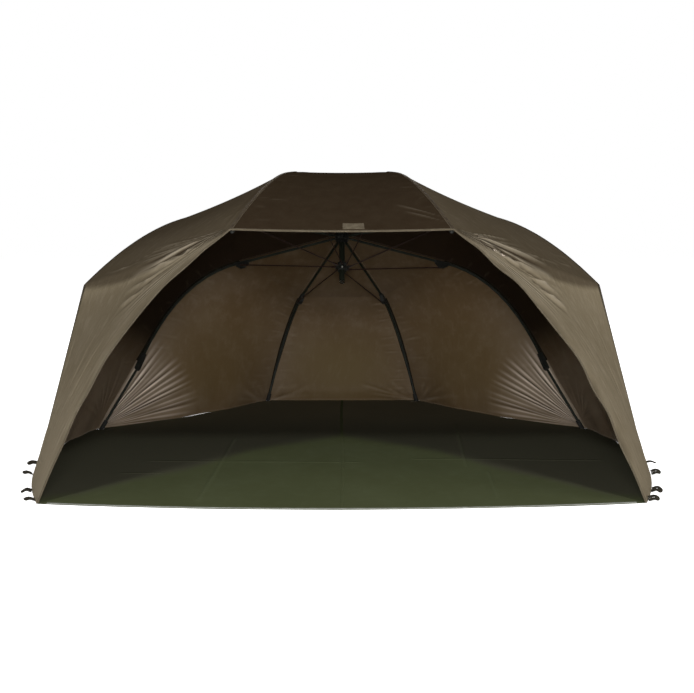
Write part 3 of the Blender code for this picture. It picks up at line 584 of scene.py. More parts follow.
@dataclass(frozen=True)
class Palette:
    """Every finish on the umbrella."""

    # The outside's deep colour is the roof's painted shade; its pale one serves wear, painted light and
    # painted highlights.
    outside: ClothFinish = ClothFinish(
        "canopy_outer_cloth", (0.140, 0.114, 0.074), (0.240, 0.205, 0.150), (0.0235, 0.0155, 0.0088),
        fan_depth=5 * MM,
        crinkle=5.0 * MM, streaky=0.26
    )
    # The inside's deep colour is painted shade, its glow painted glow of daylight, and its fan colour painted
    # highlights.
    inside: ClothFinish = ClothFinish(
        "canopy_inner_proofing", (0.104, 0.066, 0.0315), (0.330, 0.270, 0.205), (0.0150, 0.0088, 0.0052),
        glow=(0.125, 0.086, 0.034), face="inner", roughness=0.55, mottle=0.16, shine=0.1, fan_depth=3 * MM,
        fan_rays=102.0, fan_lift=0.14, fan_highlight=(0.74, 0.62, 0.51)
    )
    # The sheet's deep colour is the canopy's painted shadow on it, and its glow a painted brown glow at its
    # rear.
    sheet: ClothFinish = ClothFinish(
        "groundsheet_cloth", (0.056, 0.063, 0.030), (0.085, 0.096, 0.054), (0.052, 0.049, 0.036),
        glow=(0.150, 0.130, 0.085),
        roughness=0.62, weave=1.6 * MM, crinkle=0.5 * MM, streaky=0.0,
        packed=(
            (-0.9, 0.63, 0.1, 0.60), (0.3, 0.66, 1.2, 0.63), (-0.57, 0.0, -0.53, 1.1), (0.55, 0.5, 0.60, 1.4),
            (0.638, 0.46, 0.616, 0.03), (-0.98, 0.42, -0.76, 0.43), (0.71, 0.985, 0.78, 0.975),
        )
    )
    sheet_back: ClothFinish = ClothFinish(
        "groundsheet_backing", (0.020, 0.021, 0.016), (0.034, 0.036, 0.028), (0.008, 0.008, 0.006),
        roughness=0.7,
    )
    binding: WebbingFinish = WebbingFinish("seam_binding", (0.032, 0.022, 0.013), (0.080, 0.062, 0.040))
    lining: WebbingFinish = WebbingFinish("seam_lining", (0.012, 0.0100, 0.0068), (0.030, 0.024, 0.016))
    hem_tape: WebbingFinish = WebbingFinish("hem_tape", (0.072, 0.057, 0.037), (0.150, 0.125, 0.086))
    sheet_edge: WebbingFinish = WebbingFinish("groundsheet_edge_tape", (0.28, 0.29, 0.25), (0.42, 0.43, 0.39))
    webbing: WebbingFinish = WebbingFinish("peg_loop_webbing", (0.016, 0.0145, 0.011), (0.050, 0.044, 0.032))
    frame_paint: CoatedSteelFinish = CoatedSteelFinish(
        "rib_coating", (0.0085, 0.0105, 0.0060), (0.10, 0.10, 0.09)
    )
    strut_paint: CoatedSteelFinish = CoatedSteelFinish(
        "strut_coating", (0.0200, 0.0095, 0.0060), (0.12, 0.10, 0.08), roughness=0.38
    )
    moulding: MouldedFinish = MouldedFinish("moulded_nylon", (0.0100, 0.0105, 0.0085), (0.030, 0.030, 0.025))
    rubber: MouldedFinish = MouldedFinish(
        "foot_rubber", (0.012, 0.012, 0.011), (0.045, 0.042, 0.036), roughness=0.78, grain=500.0
    )
    bright: BrightFinish = BrightFinish("plated_brass", (0.62, 0.60, 0.55), (0.20, 0.18, 0.14))


class Part(Enum):
    """Which finish a CAD node that stays in view takes, by what its name starts with."""

    RIB = "rib_"
    TIP = "rib_tip"
    LEG = "leg_side"
    STRUT = "strut_"
    BRACKET = "strut_bracket"
    TUBE = "centre_tube"
    HUB = "hub"
    RUNNER = "runner"
    KNUCKLE = "leg_knuckle"
    FOOT = "foot"
    FERRULE = "tube_ferrule"
    BUTTON = "runner_lock_button"


def units(vectors: np.ndarray) -> np.ndarray:
    """Each vector brought to length 1."""
    length = np.linalg.norm(vectors, axis=-1, keepdims=True)
    return vectors / np.maximum(length, 1e-9)


def smooth(t: np.ndarray) -> np.ndarray:
    """0 to 1 with level ends."""
    t = np.clip(t, 0.0, 1.0)
    return t * t * (3 - 2 * t)


def spaced(points: np.ndarray, count: int, first: float = 0.0) -> np.ndarray:
    """Points at even distances along a line.

    Args:
        points: the line.
        count: how many points are wanted.
        first: how far along the line the first one is.

    Returns:
        The points, one to a row.
    """
    along = np.concatenate([[0], np.cumsum(np.linalg.norm(np.diff(points, axis=0), axis=1))])
    where = np.linspace(first, along[-1], count)
    return np.stack([np.interp(where, along, points[:, k]) for k in range(points.shape[1])], axis=1)


def through(points: np.ndarray, breaks: Sequence[int], where: np.ndarray) -> np.ndarray:
    """A smooth line through points, read at fractional numbers of them.

    Args:
        points: the points to pass through.
        breaks: the numbers of the points where the line may have a corner.
        where: the fractional numbers to read.

    Returns:
        A point for each number.
    """
    ways = np.gradient(points, axis=0)
    before, after = ways.copy(), ways.copy()
    for k in [0, *breaks, len(points) - 1]:
        before[k] = points[k] - points[max(k - 1, 0)]
        after[k] = points[min(k + 1, len(points) - 1)] - points[k]
    near = np.clip(np.floor(where).astype(int), 0, len(points) - 2)
    t = (where - near)[:, None]
    start, end = points[near], points[near + 1]
    cubic = (2 * t**3 - 3 * t**2 + 1) * start + (t**3 - 2 * t**2 + t) * after[near]
    return cubic + (3 * t**2 - 2 * t**3) * end + (t**3 - t**2) * before[near + 1]


@dataclass(frozen=True)
class Stance:
    """How the umbrella's axis leans and where its hub is."""

    lean: float = math.radians(40)
    hub_height: float = 0.978
    hub_setback: float = 1.56
    pivot_radius: float = 0.026

    @property
    def up(self) -> np.ndarray:
        """Unit vector along the leaning axis, upwards."""
        return np.array([0.0, math.sin(self.lean), math.cos(self.lean)])

    @property
    def back(self) -> np.ndarray:
        """Unit vector square to the axis, backwards."""
        return np.array([0.0, math.cos(self.lean), -math.sin(self.lean)])

    @property
    def hub(self) -> np.ndarray:
        """The hub's centre, with Y counted from the line between the front corners."""
        return np.array([0.0, self.hub_setback, self.hub_height])

    def radial(self, azimuth: float) -> np.ndarray:
        """Unit vector outwards from the axis."""
        return math.sin(azimuth) * np.array([1.0, 0.0, 0.0]) + math.cos(azimuth) * self.back

    def lateral(self, azimuth: float) -> np.ndarray:
        """Unit vector square to a rib's plane."""
        return np.cross(self.up, self.radial(azimuth))

    def world(self, azimuth: float, flat: np.ndarray) -> np.ndarray:
        """Points from rows of (radius, drop) in a rib's plane."""
        return self.hub + flat[:, :1] * self.radial(azimuth) - flat[:, 1:] * self.up

    def drop_at_height(self, azimuth: float, radius: float, height: float) -> float:
        """The drop at which a point is at that height over the ground."""
        top = self.hub[2] + radius * self.radial(azimuth)[2]
        return (top - height) / self.up[2]

    def shift(self) -> np.ndarray:
        """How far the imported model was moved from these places, read from a rib's hinge."""
        joint = next(item for item in frame["joints"] if item["name"] == "rib_fold_back_right")
        hinge = self.hub + self.pivot_radius * self.radial(Canopy.azimuths["back"])
        return np.array(joint["pos_m"]) - hinge


@dataclass(frozen=True)
class RibLine:
    """One rib's route in its own plane, as (radius, drop)."""

    key: str
    azimuth: float
    bow: Pair
    end: Pair
    pivot: Pair = (0.026, 0.0)
    elbow: Pair = (0.574, 0.036)
    tail: float = 0.040
    steps: int = 10

    @property
    def body(self) -> str:
        """The body that the rib moves with."""
        return f"rib_{self.key}"

    @property
    def joint(self) -> str:
        """The joint that folds the rib."""
        return f"rib_fold_{self.key}"

    def route(self) -> np.ndarray:
        """From the elbow to the end: a bowed stretch and a straight tail."""
        elbow, bow, end = (np.array(spot) for spot in (self.elbow, self.bow, self.end))
        last = end - units(end - bow) * self.tail
        t = np.linspace(0, 1, self.steps + 1)[:, None]
        return np.vstack([(1 - t) ** 2 * elbow + 2 * t * (1 - t) * bow + t * t * last, end])


@dataclass(frozen=True)
class Seam:
    """A line that two panels share, with the way out of the canopy at each of its rows."""

    points: np.ndarray
    outs: np.ndarray
    breaks: tuple[int, ...]

    def at(self, rows: np.ndarray) -> tuple[np.ndarray, np.ndarray]:
        """The seam's points and ways out at fractional rows."""
        spots = through(self.points, self.breaks, rows)
        number = np.arange(len(self.outs))
        outs = np.stack([np.interp(rows, number, self.outs[:, k]) for k in range(3)], axis=1)
        return spots, units(outs)


@dataclass(frozen=True)
class Crease:
    """One soft wrinkle from a start to an end on a panel, given as (row, share across)."""

    start: Pair
    end: Pair
    width: float
    height: float
    lean_in: float = 0.35

    def relief(self, panel: "Panel", spots: np.ndarray) -> np.ndarray:
        """How far the wrinkle lifts each of the panel's points.

        Args:
            panel: the panel that it is on.
            spots: the panel's smooth points, rows by columns.

        Returns:
            A height for each point.
        """
        ends = panel.smooth_spots(*np.array([self.start, self.end], float).T)
        start, run = ends[0], ends[1] - ends[0]
        length = np.linalg.norm(run)
        away = spots - start
        t = away @ run / length**2
        gap = np.linalg.norm(away - t[..., None] * run, axis=-1)
        width = self.width * (self.lean_in + (1 - self.lean_in) * np.clip(t, 0, 1))
        along = np.sin(math.pi * np.clip(t, 0, 1) ** 0.8) ** 0.9
        profile = np.exp(-((gap / width) ** 2)) - 0.42 * np.exp(-(((gap - 1.9 * width) / width) ** 2))
        return self.height * along * profile


@dataclass(frozen=True)
class Rays:
    """A fan of fine folds drawn into a panel from one point.

    toward is the step in rows and in shares that leads into the panel. sweep is the first and the last turn
    from the one to the other, in radians.
    """

    row: float
    share: float
    toward: Pair
    sweep: Pair
    reach: float
    pull: float = 1.0
    fade: float = 0.3


@dataclass
class Panel:
    """One sewn panel of the canopy between two seams, at share 0 and share 1.

    bow is how far its foot bows out, and folds how deep the folds there are. on_ground says whether its last
    row lies on the ground. lift raises its foot by share, and ripple its face by row and share.
    """

    key: str
    first: Seam
    second: Seam
    rows: int
    bow: float = 0.0
    folds: float = 0.0
    on_ground: bool = True
    creases: list[Crease] = field(default_factory=list)
    lift: Callable[[np.ndarray], np.ndarray] = lambda share: 0 * share
    ripple: Callable[[np.ndarray, np.ndarray], np.ndarray] = lambda row, share: 0 * share
    rays: Union[Rays, None] = None

    @property
    def kind(self) -> str:
        """The panel's name without its side."""
        return self.key.replace("_left", "").replace("_right", "")

    @property
    def on_right(self) -> bool:
        """Whether it is the right one of a pair."""
        return self.key.endswith("right")

    def blend(
        self, rows: np.ndarray, shares: np.ndarray, one: tuple[np.ndarray, ...], two: tuple[np.ndarray, ...]
    ) -> tuple[np.ndarray, np.ndarray]:
        """The panel's sag, bow and folds between points of its two seams.

        Args:
            rows: each point's row.
            shares: each point's share across.
            one: the first seam's points and ways out at those rows.
            two: the second seam's.

        Returns:
            The points and the ways out there.
        """
        u = shares[..., None]
        out = one[1] * (1 - u) + two[1] * u
        level = units(out * LEVEL)
        share = np.clip((rows - 1) / (self.rows - 1), 0, 1)[..., None]
        hump = 4 * u * (1 - u)
        sag = Canopy.sag * np.sin(math.pi * share / (1 if self.on_ground else 2))
        spot = one[0] * (1 - u) + two[0] * u - out * sag * hump
        spot = spot + level * self.bow * hump * smooth(2 * share - 1)
        fold = np.sin(FULL_TURN * Canopy.fold_count * u) * hump * smooth(3 * share - 2)
        return spot + out * self.folds * fold, out

    def smooth_spots(self, rows: np.ndarray, shares: np.ndarray) -> np.ndarray:
        """Points without wrinkles at paired rows and shares."""
        return self.blend(rows, shares, self.first.at(rows), self.second.at(rows))[0]

    def grid(self, rows: np.ndarray, shares: np.ndarray) -> tuple[np.ndarray, np.ndarray]:
        """The finished cloth.

        Args:
            rows: the grid's fractional rows.
            shares: its shares across.

        Returns:
            The points, rows by columns, and how far a wrinkle lifts each.
        """
        row_field, share_field = np.meshgrid(rows, shares, indexing="ij")
        one, two = (tuple(part[:, None, :] for part in seam.at(rows)) for seam in (self.first, self.second))
        spots, outs = self.blend(row_field, share_field, one, two)
        relief = np.zeros(spots.shape[:2])
        for crease in self.creases:
            relief += crease.relief(self, spots)
        hold = 1 - (2 * np.abs(share_field - 0.5)) ** 8
        relief = relief * hold + self.ripple(row_field, share_field)
        spots = spots + units(outs) * relief[..., None]
        if self.on_ground:
            foot = smooth((row_field - (self.rows - 3)) / 3)
            ground = Canopy.thickness / 2
            height = np.maximum(spots[..., 2] + self.lift(share_field) * foot, ground)
            last = row_field >= self.rows - 1e-6
            spots[..., 2] = np.where(last, ground + self.lift(share_field), height)
        return spots, relief

    def fan_marks(self, spots: np.ndarray) -> np.ndarray:
        """Where the panel's fan of fine folds shows.

        Args:
            spots: the panel's points, rows by columns.

        Returns:
            Each point's turn round the fan, its distance from it and how deep the folds are there.
        """
        if self.rays is None:
            return 0 * spots
        rays = self.rays
        foot, along, across = self.smooth_spots(
            np.array([rays.row, rays.row + rays.toward[0], rays.row]),
            np.array([rays.share, rays.share, rays.share + rays.toward[1]]),
        )
        first = units(along - foot)
        second = across - foot
        second = units(second - first * (second @ first))
        away = spots - foot
        turn = np.arctan2(away @ second, away @ first)
        reach = np.linalg.norm(away, axis=-1)
        low, high = rays.sweep
        within = smooth((turn - low) / 0.12) * smooth((high - turn) / rays.fade)
        near = smooth(reach / 0.05) * (1 - smooth((reach - 0.55 * rays.reach) / (0.45 * rays.reach)))
        return np.stack([turn, reach, rays.pull * within * near], axis=-1)

    def normals(self, spots: np.ndarray) -> np.ndarray:
        """The cloth's way out at each point of a grid."""
        out = units(np.cross(np.gradient(spots, axis=0), np.gradient(spots, axis=1)))
        middle = spots[len(spots) // 2, spots.shape[1] // 2]
        facing = out[len(spots) // 2, spots.shape[1] // 2] @ (middle - Canopy.inside_point)
        return out * (1 if facing > 0 else -1)


@dataclass
class Skin:
    """A closed sheet of quads with an outer face, an inner face and a rim.

    points are midway through the sheet, ways are unit vectors to its outer side. quads are wound so that they
    face outwards, and shades are the outer face's normals at the quads' corners.
    """

    points: np.ndarray
    ways: np.ndarray
    quads: np.ndarray
    shades: np.ndarray
    thickness: float
    marks: dict[str, np.ndarray] = field(default_factory=dict)

    def build(self, name: str, outside: bpy.types.Material, inside: bpy.types.Material) -> bpy.types.Object:
        """Makes the object.

        Args:
            name: the piece's name.
            outside: the material of the outer face and the rim.
            inside: the material of the inner face.

        Returns:
            The new piece.
        """
        count = len(self.points)
        half = self.ways * (self.thickness / 2)
        places = np.vstack([self.points + half, self.points - half]) + SHIFT
        following = np.roll(self.quads, -1, axis=1)
        here, there = self.quads.ravel(), following.ravel()
        free = ~np.isin(here.astype(np.int64) * count + there, there.astype(np.int64) * count + here)
        start, end = here[free], there[free]
        rim = np.stack([end, start, start + count, end + count], axis=1)
        faces = np.vstack([self.quads, self.quads[:, ::-1] + count, rim])
        mesh = bpy.data.meshes.new(name)
        mesh.from_pydata(places.tolist(), [], faces.tolist())
        corners = places[rim]
        rim_ways = units(np.cross(corners[:, 2] - corners[:, 0], corners[:, 3] - corners[:, 1]))
        normals = np.concatenate([
            self.shades.reshape(-1, 3), -self.shades[:, ::-1].reshape(-1, 3), np.repeat(rim_ways, 4, axis=0)
        ])
        mesh.shade_smooth()
        mesh.materials.append(outside)
        mesh.materials.append(inside)
        inner = np.zeros(len(faces), np.int32)
        inner[len(self.quads): 2 * len(self.quads)] = 1
        mesh.polygons.foreach_set("material_index", inner)
        for mark, values in self.marks.items():
            layer = mesh.attributes.new(mark, "FLOAT_VECTOR", "POINT")
            layer.data.foreach_set("vector", np.vstack([values, values]).astype(np.float32).ravel())
        mesh.normals_split_custom_set(normals.tolist())
        made = bpy.data.objects.new(name, mesh)
        bpy.context.scene.collection.objects.link(made)
        log.info("%s: %d faces", name, len(faces))
        return made


def grid_quads(rows: int, columns: int) -> np.ndarray:
    """Quads of a grid of points that are numbered row by row."""
    number = np.arange(rows * columns).reshape(rows, columns)
    corners = [number[:-1, :-1], number[:-1, 1:], number[1:, 1:], number[1:, :-1]]
    return np.stack(corners, axis=-1).reshape(-1, 4)


def ring_quads(rings: int, columns: int) -> np.ndarray:
    """Quads between closed rings of points that are numbered ring by ring."""
    number = np.arange(rings * columns).reshape(rings, columns)
    after = np.roll(number, -1, axis=1)
    return np.stack([number[:-1], after[:-1], after[1:], number[1:]], axis=-1).reshape(-1, 4)


def facing(points: np.ndarray, quads: np.ndarray, ways: np.ndarray) -> np.ndarray:
    """The quads, all turned round if they face against the ways of their points."""
    middle = len(quads) // 2
    a, b, c, d = points[quads[middle]]
    if np.cross(c - a, d - b) @ ways[quads[middle, 0]] < 0:
        return quads[:, ::-1]
    return quads


def sheet_of(
    spots: np.ndarray, ways: np.ndarray, thickness: float, marks: dict[str, np.ndarray], closed: bool = False
) -> Skin:
    """A skin from a grid of points.

    Args:
        spots: the points.
        ways: their ways out.
        thickness: the sheet's thickness.
        marks: the marks of the points.
        closed: whether the grid's rows are closed rings.

    Returns:
        The skin, ready to be built.
    """
    flat, out = spots.reshape(-1, 3), ways.reshape(-1, 3)
    quads = facing(flat, (ring_quads if closed else grid_quads)(*spots.shape[:2]), out)
    listed = {key: mark.reshape(-1, 3) for key, mark in marks.items()}
    return Skin(flat, out, quads, out[quads], thickness, listed)


def run_lengths(spots: np.ndarray, axis: int) -> np.ndarray:
    """Distance along each line of a grid from its start."""
    steps = np.linalg.norm(np.diff(spots, axis=axis), axis=-1)
    pad = [(0, 0), (0, 0)]
    pad[axis] = (1, 0)
    return np.cumsum(np.pad(steps, pad), axis=axis)


@dataclass(frozen=True)
class Strip:
    """A narrow tape laid on the cloth along a line, with rounded edges.

    rise is how far its middle lies above the line, and slump how far each edge lies below that, over a seam.
    """

    width: float
    thickness: float
    rise: float
    finish: bpy.types.Material
    slump: float = 0.0
    edge_fall: float = 0.35
    edge_turn: float = 0.55
    shares: tuple[float, ...] = (-1.0, -0.86, -0.5, 0.0, 0.5, 0.86, 1.0)

    def build(self, name: str, line: np.ndarray, ways: np.ndarray) -> bpy.types.Object:
        """Makes the tape.

        Args:
            name: the piece's name.
            line: the points that its middle follows.
            ways: the cloth's way out at each.

        Returns:
            The new piece.
        """
        side = units(np.cross(units(np.gradient(line, axis=0)), ways))
        shares = np.array(self.shares)
        fall = self.slump * np.abs(shares) + self.edge_fall * self.thickness * (np.abs(shares) > 0.9)
        spots = line[:, None] + side[:, None] * (shares * self.width / 2)[None, :, None]
        spots = spots + ways[:, None] * (self.rise - fall)[None, :, None]
        spots[..., 2] = np.maximum(spots[..., 2], self.thickness / 2)
        out = units(ways[:, None] + side[:, None] * (self.edge_turn * shares**3)[None, :, None])
        along = run_lengths(spots, 0)
        across = np.broadcast_to(shares * self.width / 2, along.shape)
        edge = self.width / 2 - np.abs(across)
        marks = {
            "cut": np.stack([across, along, 0 * along], axis=-1),
            "edge": np.stack([edge, np.ones_like(edge), 0 * edge], axis=-1),
        }
        return sheet_of(spots, out, self.thickness, marks).build(name, self.finish, self.finish)


@dataclass(frozen=True)
class Tones:
    """How much painted shade, painted light and painted glow each face of a panel takes by place, from 0 to
    1.

    The roof outside is painted darker than the walls, the inside of the roof and of the front walls is
    painted in shade, and the back panels take a painted glow of daylight through them.
    """

    rows: np.ndarray
    shares: np.ndarray
    on_right: bool

    def after(self, row: Union[float, np.ndarray], over: float) -> np.ndarray:
        """0 up to a row, and 1 that many rows further on."""
        return smooth((self.rows - row) / over)

    def before(self, row: float, over: float) -> np.ndarray:
        """0 from a row on, and 1 that many rows nearer the hub."""
        return smooth((row - self.rows) / over)

    @property
    def middle(self) -> np.ndarray:
        """0 at both seams and 1 midway."""
        return 4 * self.shares * (1 - self.shares)

    def faces(self, kind: str) -> dict[str, np.ndarray]:
        """The marks of both faces.

        Args:
            kind: the kind of panel.

        Returns:
            The outer and the inner face's marks, each as (painted shade, painted light, painted glow).
        """
        outer, inner = {
            "front": self.front,
            "front_side": self.front_side,
            "side": self.side,
            "back_side": self.back_side,
            "back": self.back,
        }[kind]()
        return {"outer": self.stacked(*outer), "inner": self.stacked(*inner)}

    def stacked(self, *tones: Union[float, np.ndarray]) -> np.ndarray:
        """Three tones, each a number or a grid, as one grid of marks."""
        return np.dstack([0 * self.rows + tone for tone in tones])

    def roof(self) -> np.ndarray:
        """How much painted shade the roof's outer face takes, less towards the foot."""
        return 0.7 * (1 - 0.9 * self.after(8, 6))

    def front(self) -> tuple[tuple, tuple]:
        """The front of the roof, with the deepest painted shade, outside and in."""
        return (0.97, 0, 0), (0.9, 0, 0)

    def front_side(self) -> tuple[tuple, tuple]:
        """The front walls: outside, painted shade on the roof part down to the crease and a little on the
        walls, with painted light low on the left wall; inside, painted shade all over, less towards the foot.
        """
        near_hub, inner_half = self.before(7, 4), self.before(10.2, 2)
        roof = 0.66 + 0.045 * near_hub if self.on_right else 0.67 + 0.12 * inner_half + 0.07 * near_hub
        crease = 11.02 + 0.35 * self.middle
        near_top = self.after(11.3, 0.6) * (1 - self.after(12.8, 2.5))
        low = self.after(13.5, 3)
        wall = 0.03 * near_top + 0.08 * low if self.on_right else 0.19 * near_top
        dark = (1.0 if self.on_right else 0.905) - 0.35 * self.after(13, 4)
        outside = roof * (1 - self.after(crease, 0.22)) + wall
        return (outside, 0 if self.on_right else 0.36 * low, 0), (dark, 0, 0)

    def side(self) -> tuple[tuple, tuple]:
        """The side panels: painted shade on the roof outside; inside, painted shade under the roof and
        painted light towards the foot.
        """
        return (self.roof(), 0, 0), (0.95 * (1 - self.after(10.6, 2.6)), 0.24 * self.after(11.5, 3), 0)

    def daylight(self) -> np.ndarray:
        """How much painted glow of daylight shows through the middle of the back panels."""
        return self.middle * self.after(6, 7) * (1 - 0.5 * self.after(14, 3))

    def back_side(self) -> tuple[tuple, tuple]:
        """The panels beside the back: painted shade on the roof outside; inside, painted shade near the hub,
        painted light towards the side rib and some painted glow.
        """
        painted_light = 0.30 * smooth((self.shares - 0.55) / 0.45) * self.after(8, 5)
        return (self.roof(), 0, 0), (0.32 * self.before(9, 5), painted_light, self.daylight() * 0.5)

    def back(self) -> tuple[tuple, tuple]:
        """The back panel: painted shade on the roof outside; inside, painted shade near the hub and the most
        painted glow of daylight.
        """
        return (self.roof(), 0, 0), (0.32 * self.before(9, 5), 0, self.daylight())


@dataclass
class Canopy:
    """The cloth: eight panels sewn along the ribs, and parted along their middles to fold with the ribs."""

    azimuths: ClassVar[dict[str, float]] = {
        "back": math.radians(24.6),
        "side": math.radians(71.9),
        "front_side": math.radians(110.7),
        "front": math.radians(157.8),
    }
    bows: ClassVar[dict[str, Pair]] = {
        "back": (0.790, 0.100),
        "side": (0.950, 0.045),
        "front_side": (0.920, 0.050),
        "front": (0.790, 0.168),
    }
    ends: ClassVar[dict[str, Pair]] = {
        "side": (1.142, 0.599),
        "front_side": (1.252, 0.624),
        "front": (1.159, 0.805),
    }

    palette: Palette
    stance: Stance
    back_end_radius: float = 1.043
    leg_end_radius: float = 1.304
    rib_end_height: float = 0.013
    sag: float = 0.009
    fold_count: int = 3
    thickness: float = 1.6 * MM
    inside_point: Colour = (0.0, 1.3, 0.45)
    hub_radius: float = 0.036
    cloth_gauge: float = 0.003
    hole_radius: float = 0.015
    cloth_height: float = 0.0158
    lift: float = 0.0145
    foot_lift: float = 0.025
    knuckle_lift: float = 0.029
    sleeve_reach: float = 0.045
    tip_nose: float = 0.009
    head_rows: int = 4
    half_columns: int = 60
    roof_rows: int = 11
    wall_rows: int = 6
    arch_steps: int = 40
    crown_rings: int = 7
    crown_steps: int = 96
    wall_foot: Pair = (1.372, 0.620)
    front_corner: Pair = (1.192, -0.012)
    arch_upper: Colour = (0.801, 0.150, 0.782)
    arch_lower: Colour = (0.928, 0.050, 0.634)
    first_seed: int = 40
    fold_unit: float = 6 * MM
    ground_reach: float = 12 * MM
    keep: float = 0.34
    grids: dict[str, tuple[np.ndarray, ...]] = field(default_factory=dict)
    by_key: dict[str, Panel] = field(default_factory=dict)

    def ribs(self) -> dict[str, RibLine]:
        """The eight ribs by key."""
        drop = self.stance.drop_at_height(self.azimuths["back"], self.back_end_radius, self.rib_end_height)
        ends = {"back": (self.back_end_radius, drop), **self.ends}
        made = {}
        for side, sign in SIDES:
            for kind, bow in self.bows.items():
                key = f"{kind}_{side}"
                made[key] = RibLine(key, sign * self.azimuths[kind], bow, ends[kind])
        return made

    def lifted(self, rib: RibLine) -> np.ndarray:
        """The cloth's line over a rib in the rib's plane.

        Args:
            rib: the rib.

        Returns:
            Its points from the elbow to the rib's end or foot, as (radius, drop).
        """
        route = list(rib.route())
        lifts = [self.lift] * (len(route) - 1)
        way = units(np.array(rib.end) - np.array(rib.bow))
        if rib.key.startswith("side"):
            foot = self.leg_end_radius
            drop = self.stance.drop_at_height(self.azimuths["side"], foot, self.rib_end_height)
            route.append(np.array([foot, drop]))
            lifts += [self.knuckle_lift, self.foot_lift]
            lifts[-3] = self.knuckle_lift
        elif rib.key.startswith("back"):
            lifts.append(self.foot_lift)
        else:
            route.append(np.array(rib.end) + way * self.tip_nose)
            lifts += [self.lift, self.lift]
        start = units(np.array(rib.elbow) - np.array(rib.pivot))
        out = []
        for k, (spot, lift) in enumerate(zip(route, lifts)):
            before = units(spot - route[k - 1]) if k else start
            after = units(route[k + 1] - spot) if k + 1 < len(route) else before
            turn = units(before + after)
            out.append(spot + np.array([turn[1], -turn[0]]) * lift)
        return np.array(out)

    def rib_seam(self, rib: RibLine, rows: int) -> tuple[np.ndarray, np.ndarray]:
        """The seam over a rib, from the hub to the rib's end or the ground.

        Args:
            rib: the rib.
            rows: how many points there are after the first.

        Returns:
            Its points and its ways out.
        """
        line = self.lifted(rib)
        radial = self.stance.radial(rib.azimuth)
        if not rib.key.startswith("front"):
            way = units(line[-1] - line[-2])
            last = self.stance.world(rib.azimuth, line[-1:])[0]
            slope = way[0] * radial[2] - way[1] * self.stance.up[2]
            line = np.vstack([line, line[-1] + way * ((last[2] - self.cloth_gauge / 2) / -slope)])
        height = -self.cloth_height
        head = spaced(np.array([[self.hub_radius + self.cloth_gauge, height], line[0]]), self.head_rows)
        rest = spaced(line, rows - self.head_rows, self.sleeve_reach)
        flat = np.vstack([[[self.hole_radius, height]], head, rest])
        run = units(np.gradient(flat, axis=0))
        outs = run[:, 1:] * radial + run[:, :1] * self.stance.up
        return self.stance.world(rib.azimuth, flat), outs

    def seams(self) -> dict[str, Seam]:
        """The eight seams by rib."""
        made = {}
        ribs = self.ribs()
        rows = self.roof_rows + self.wall_rows
        for side, sign in SIDES:
            for kind in ("back", "side"):
                key = f"{kind}_{side}"
                made[key] = Seam(*self.rib_seam(ribs[key], rows), (1, 4))
            points, outs = self.rib_seam(ribs[f"front_side_{side}"], self.roof_rows)
            tip = points[-1]
            ground = np.array([sign * self.wall_foot[0], self.wall_foot[1], self.cloth_gauge / 2])
            steps = np.arange(1, self.wall_rows + 1)[:, None] / self.wall_rows
            out = units(np.array([ground[0], 0, 0]))
            down = units(ground - tip)
            out = units(out - down * (out @ down))
            wall = np.vstack([points, tip + (ground - tip) * steps])
            made[f"front_side_{side}"] = Seam(
                wall, np.vstack([outs, np.repeat(out[None], self.wall_rows, axis=0)]), (1, 4, self.roof_rows)
            )
            points, outs = self.rib_seam(ribs[f"front_{side}"], self.roof_rows)
            mirror = np.array([sign, 1, 1])
            corner = np.array([*self.front_corner, self.cloth_gauge / 2])
            a, b, c, d = points[-1] * mirror, np.array(self.arch_upper), np.array(self.arch_lower), corner
            t = np.linspace(0, 1, self.arch_steps)[:, None]
            curve = (1 - t) ** 3 * a + 3 * t * (1 - t) ** 2 * b + 3 * t * t * (1 - t) * c + t**3 * d
            arch = spaced(curve * mirror, self.wall_rows + 1)
            out = np.cross(np.gradient(arch, axis=0), wall[self.roof_rows:] - arch)
            out = units(out * np.sign(out[:, :1] * sign))
            made[f"front_{side}"] = Seam(
                np.vstack([points, arch[1:]]), np.vstack([outs, out[1:]]), (1, 4, self.roof_rows)
            )
        return made

    def panels(self) -> list[Panel]:
        """The eight panels with their wrinkles."""
        seams = self.seams()
        rows = self.roof_rows + self.wall_rows
        made = [Panel("back", seams["back_left"], seams["back_right"], rows)]
        for side, _ in SIDES:
            back, flank = seams[f"back_{side}"], seams[f"side_{side}"]
            corner, arch = seams[f"front_side_{side}"], seams[f"front_{side}"]
            made.append(Panel(f"back_side_{side}", back, flank, rows, -0.060, 0.006))
            made.append(Panel(f"side_{side}", flank, corner, rows, 0.030, 0.006))
            made.append(Panel(f"front_side_{side}", corner, arch, rows, 0.026))
        arches = seams["front_left"], seams["front_right"]
        made.append(Panel("front", *arches, self.roof_rows, on_ground=False))
        for number, panel in enumerate(made):
            Wrinkles(panel, np.random.default_rng(self.first_seed + number)).lay()
        return made

    def fine(self, panel: Panel) -> tuple[np.ndarray, ...]:
        """A panel's fine grid from the hub's rim outwards, worked out once.

        Args:
            panel: the panel.

        Returns:
            Its rows, shares, points, wrinkle heights and ways out.
        """
        if panel.key not in self.grids:
            shares = np.linspace(0, 1, 2 * self.half_columns + 1)
            head, neck = np.linspace(1, 4, 36), np.linspace(4, 5, 6)
            rest = np.linspace(5, panel.rows, (panel.rows - 5) * 11 + 1)
            rows = np.concatenate([head[:-1], neck[:-1], rest])
            spots, relief = panel.grid(rows, shares)
            self.grids[panel.key] = (rows, shares, spots, relief, panel.normals(spots))
        return self.grids[panel.key]

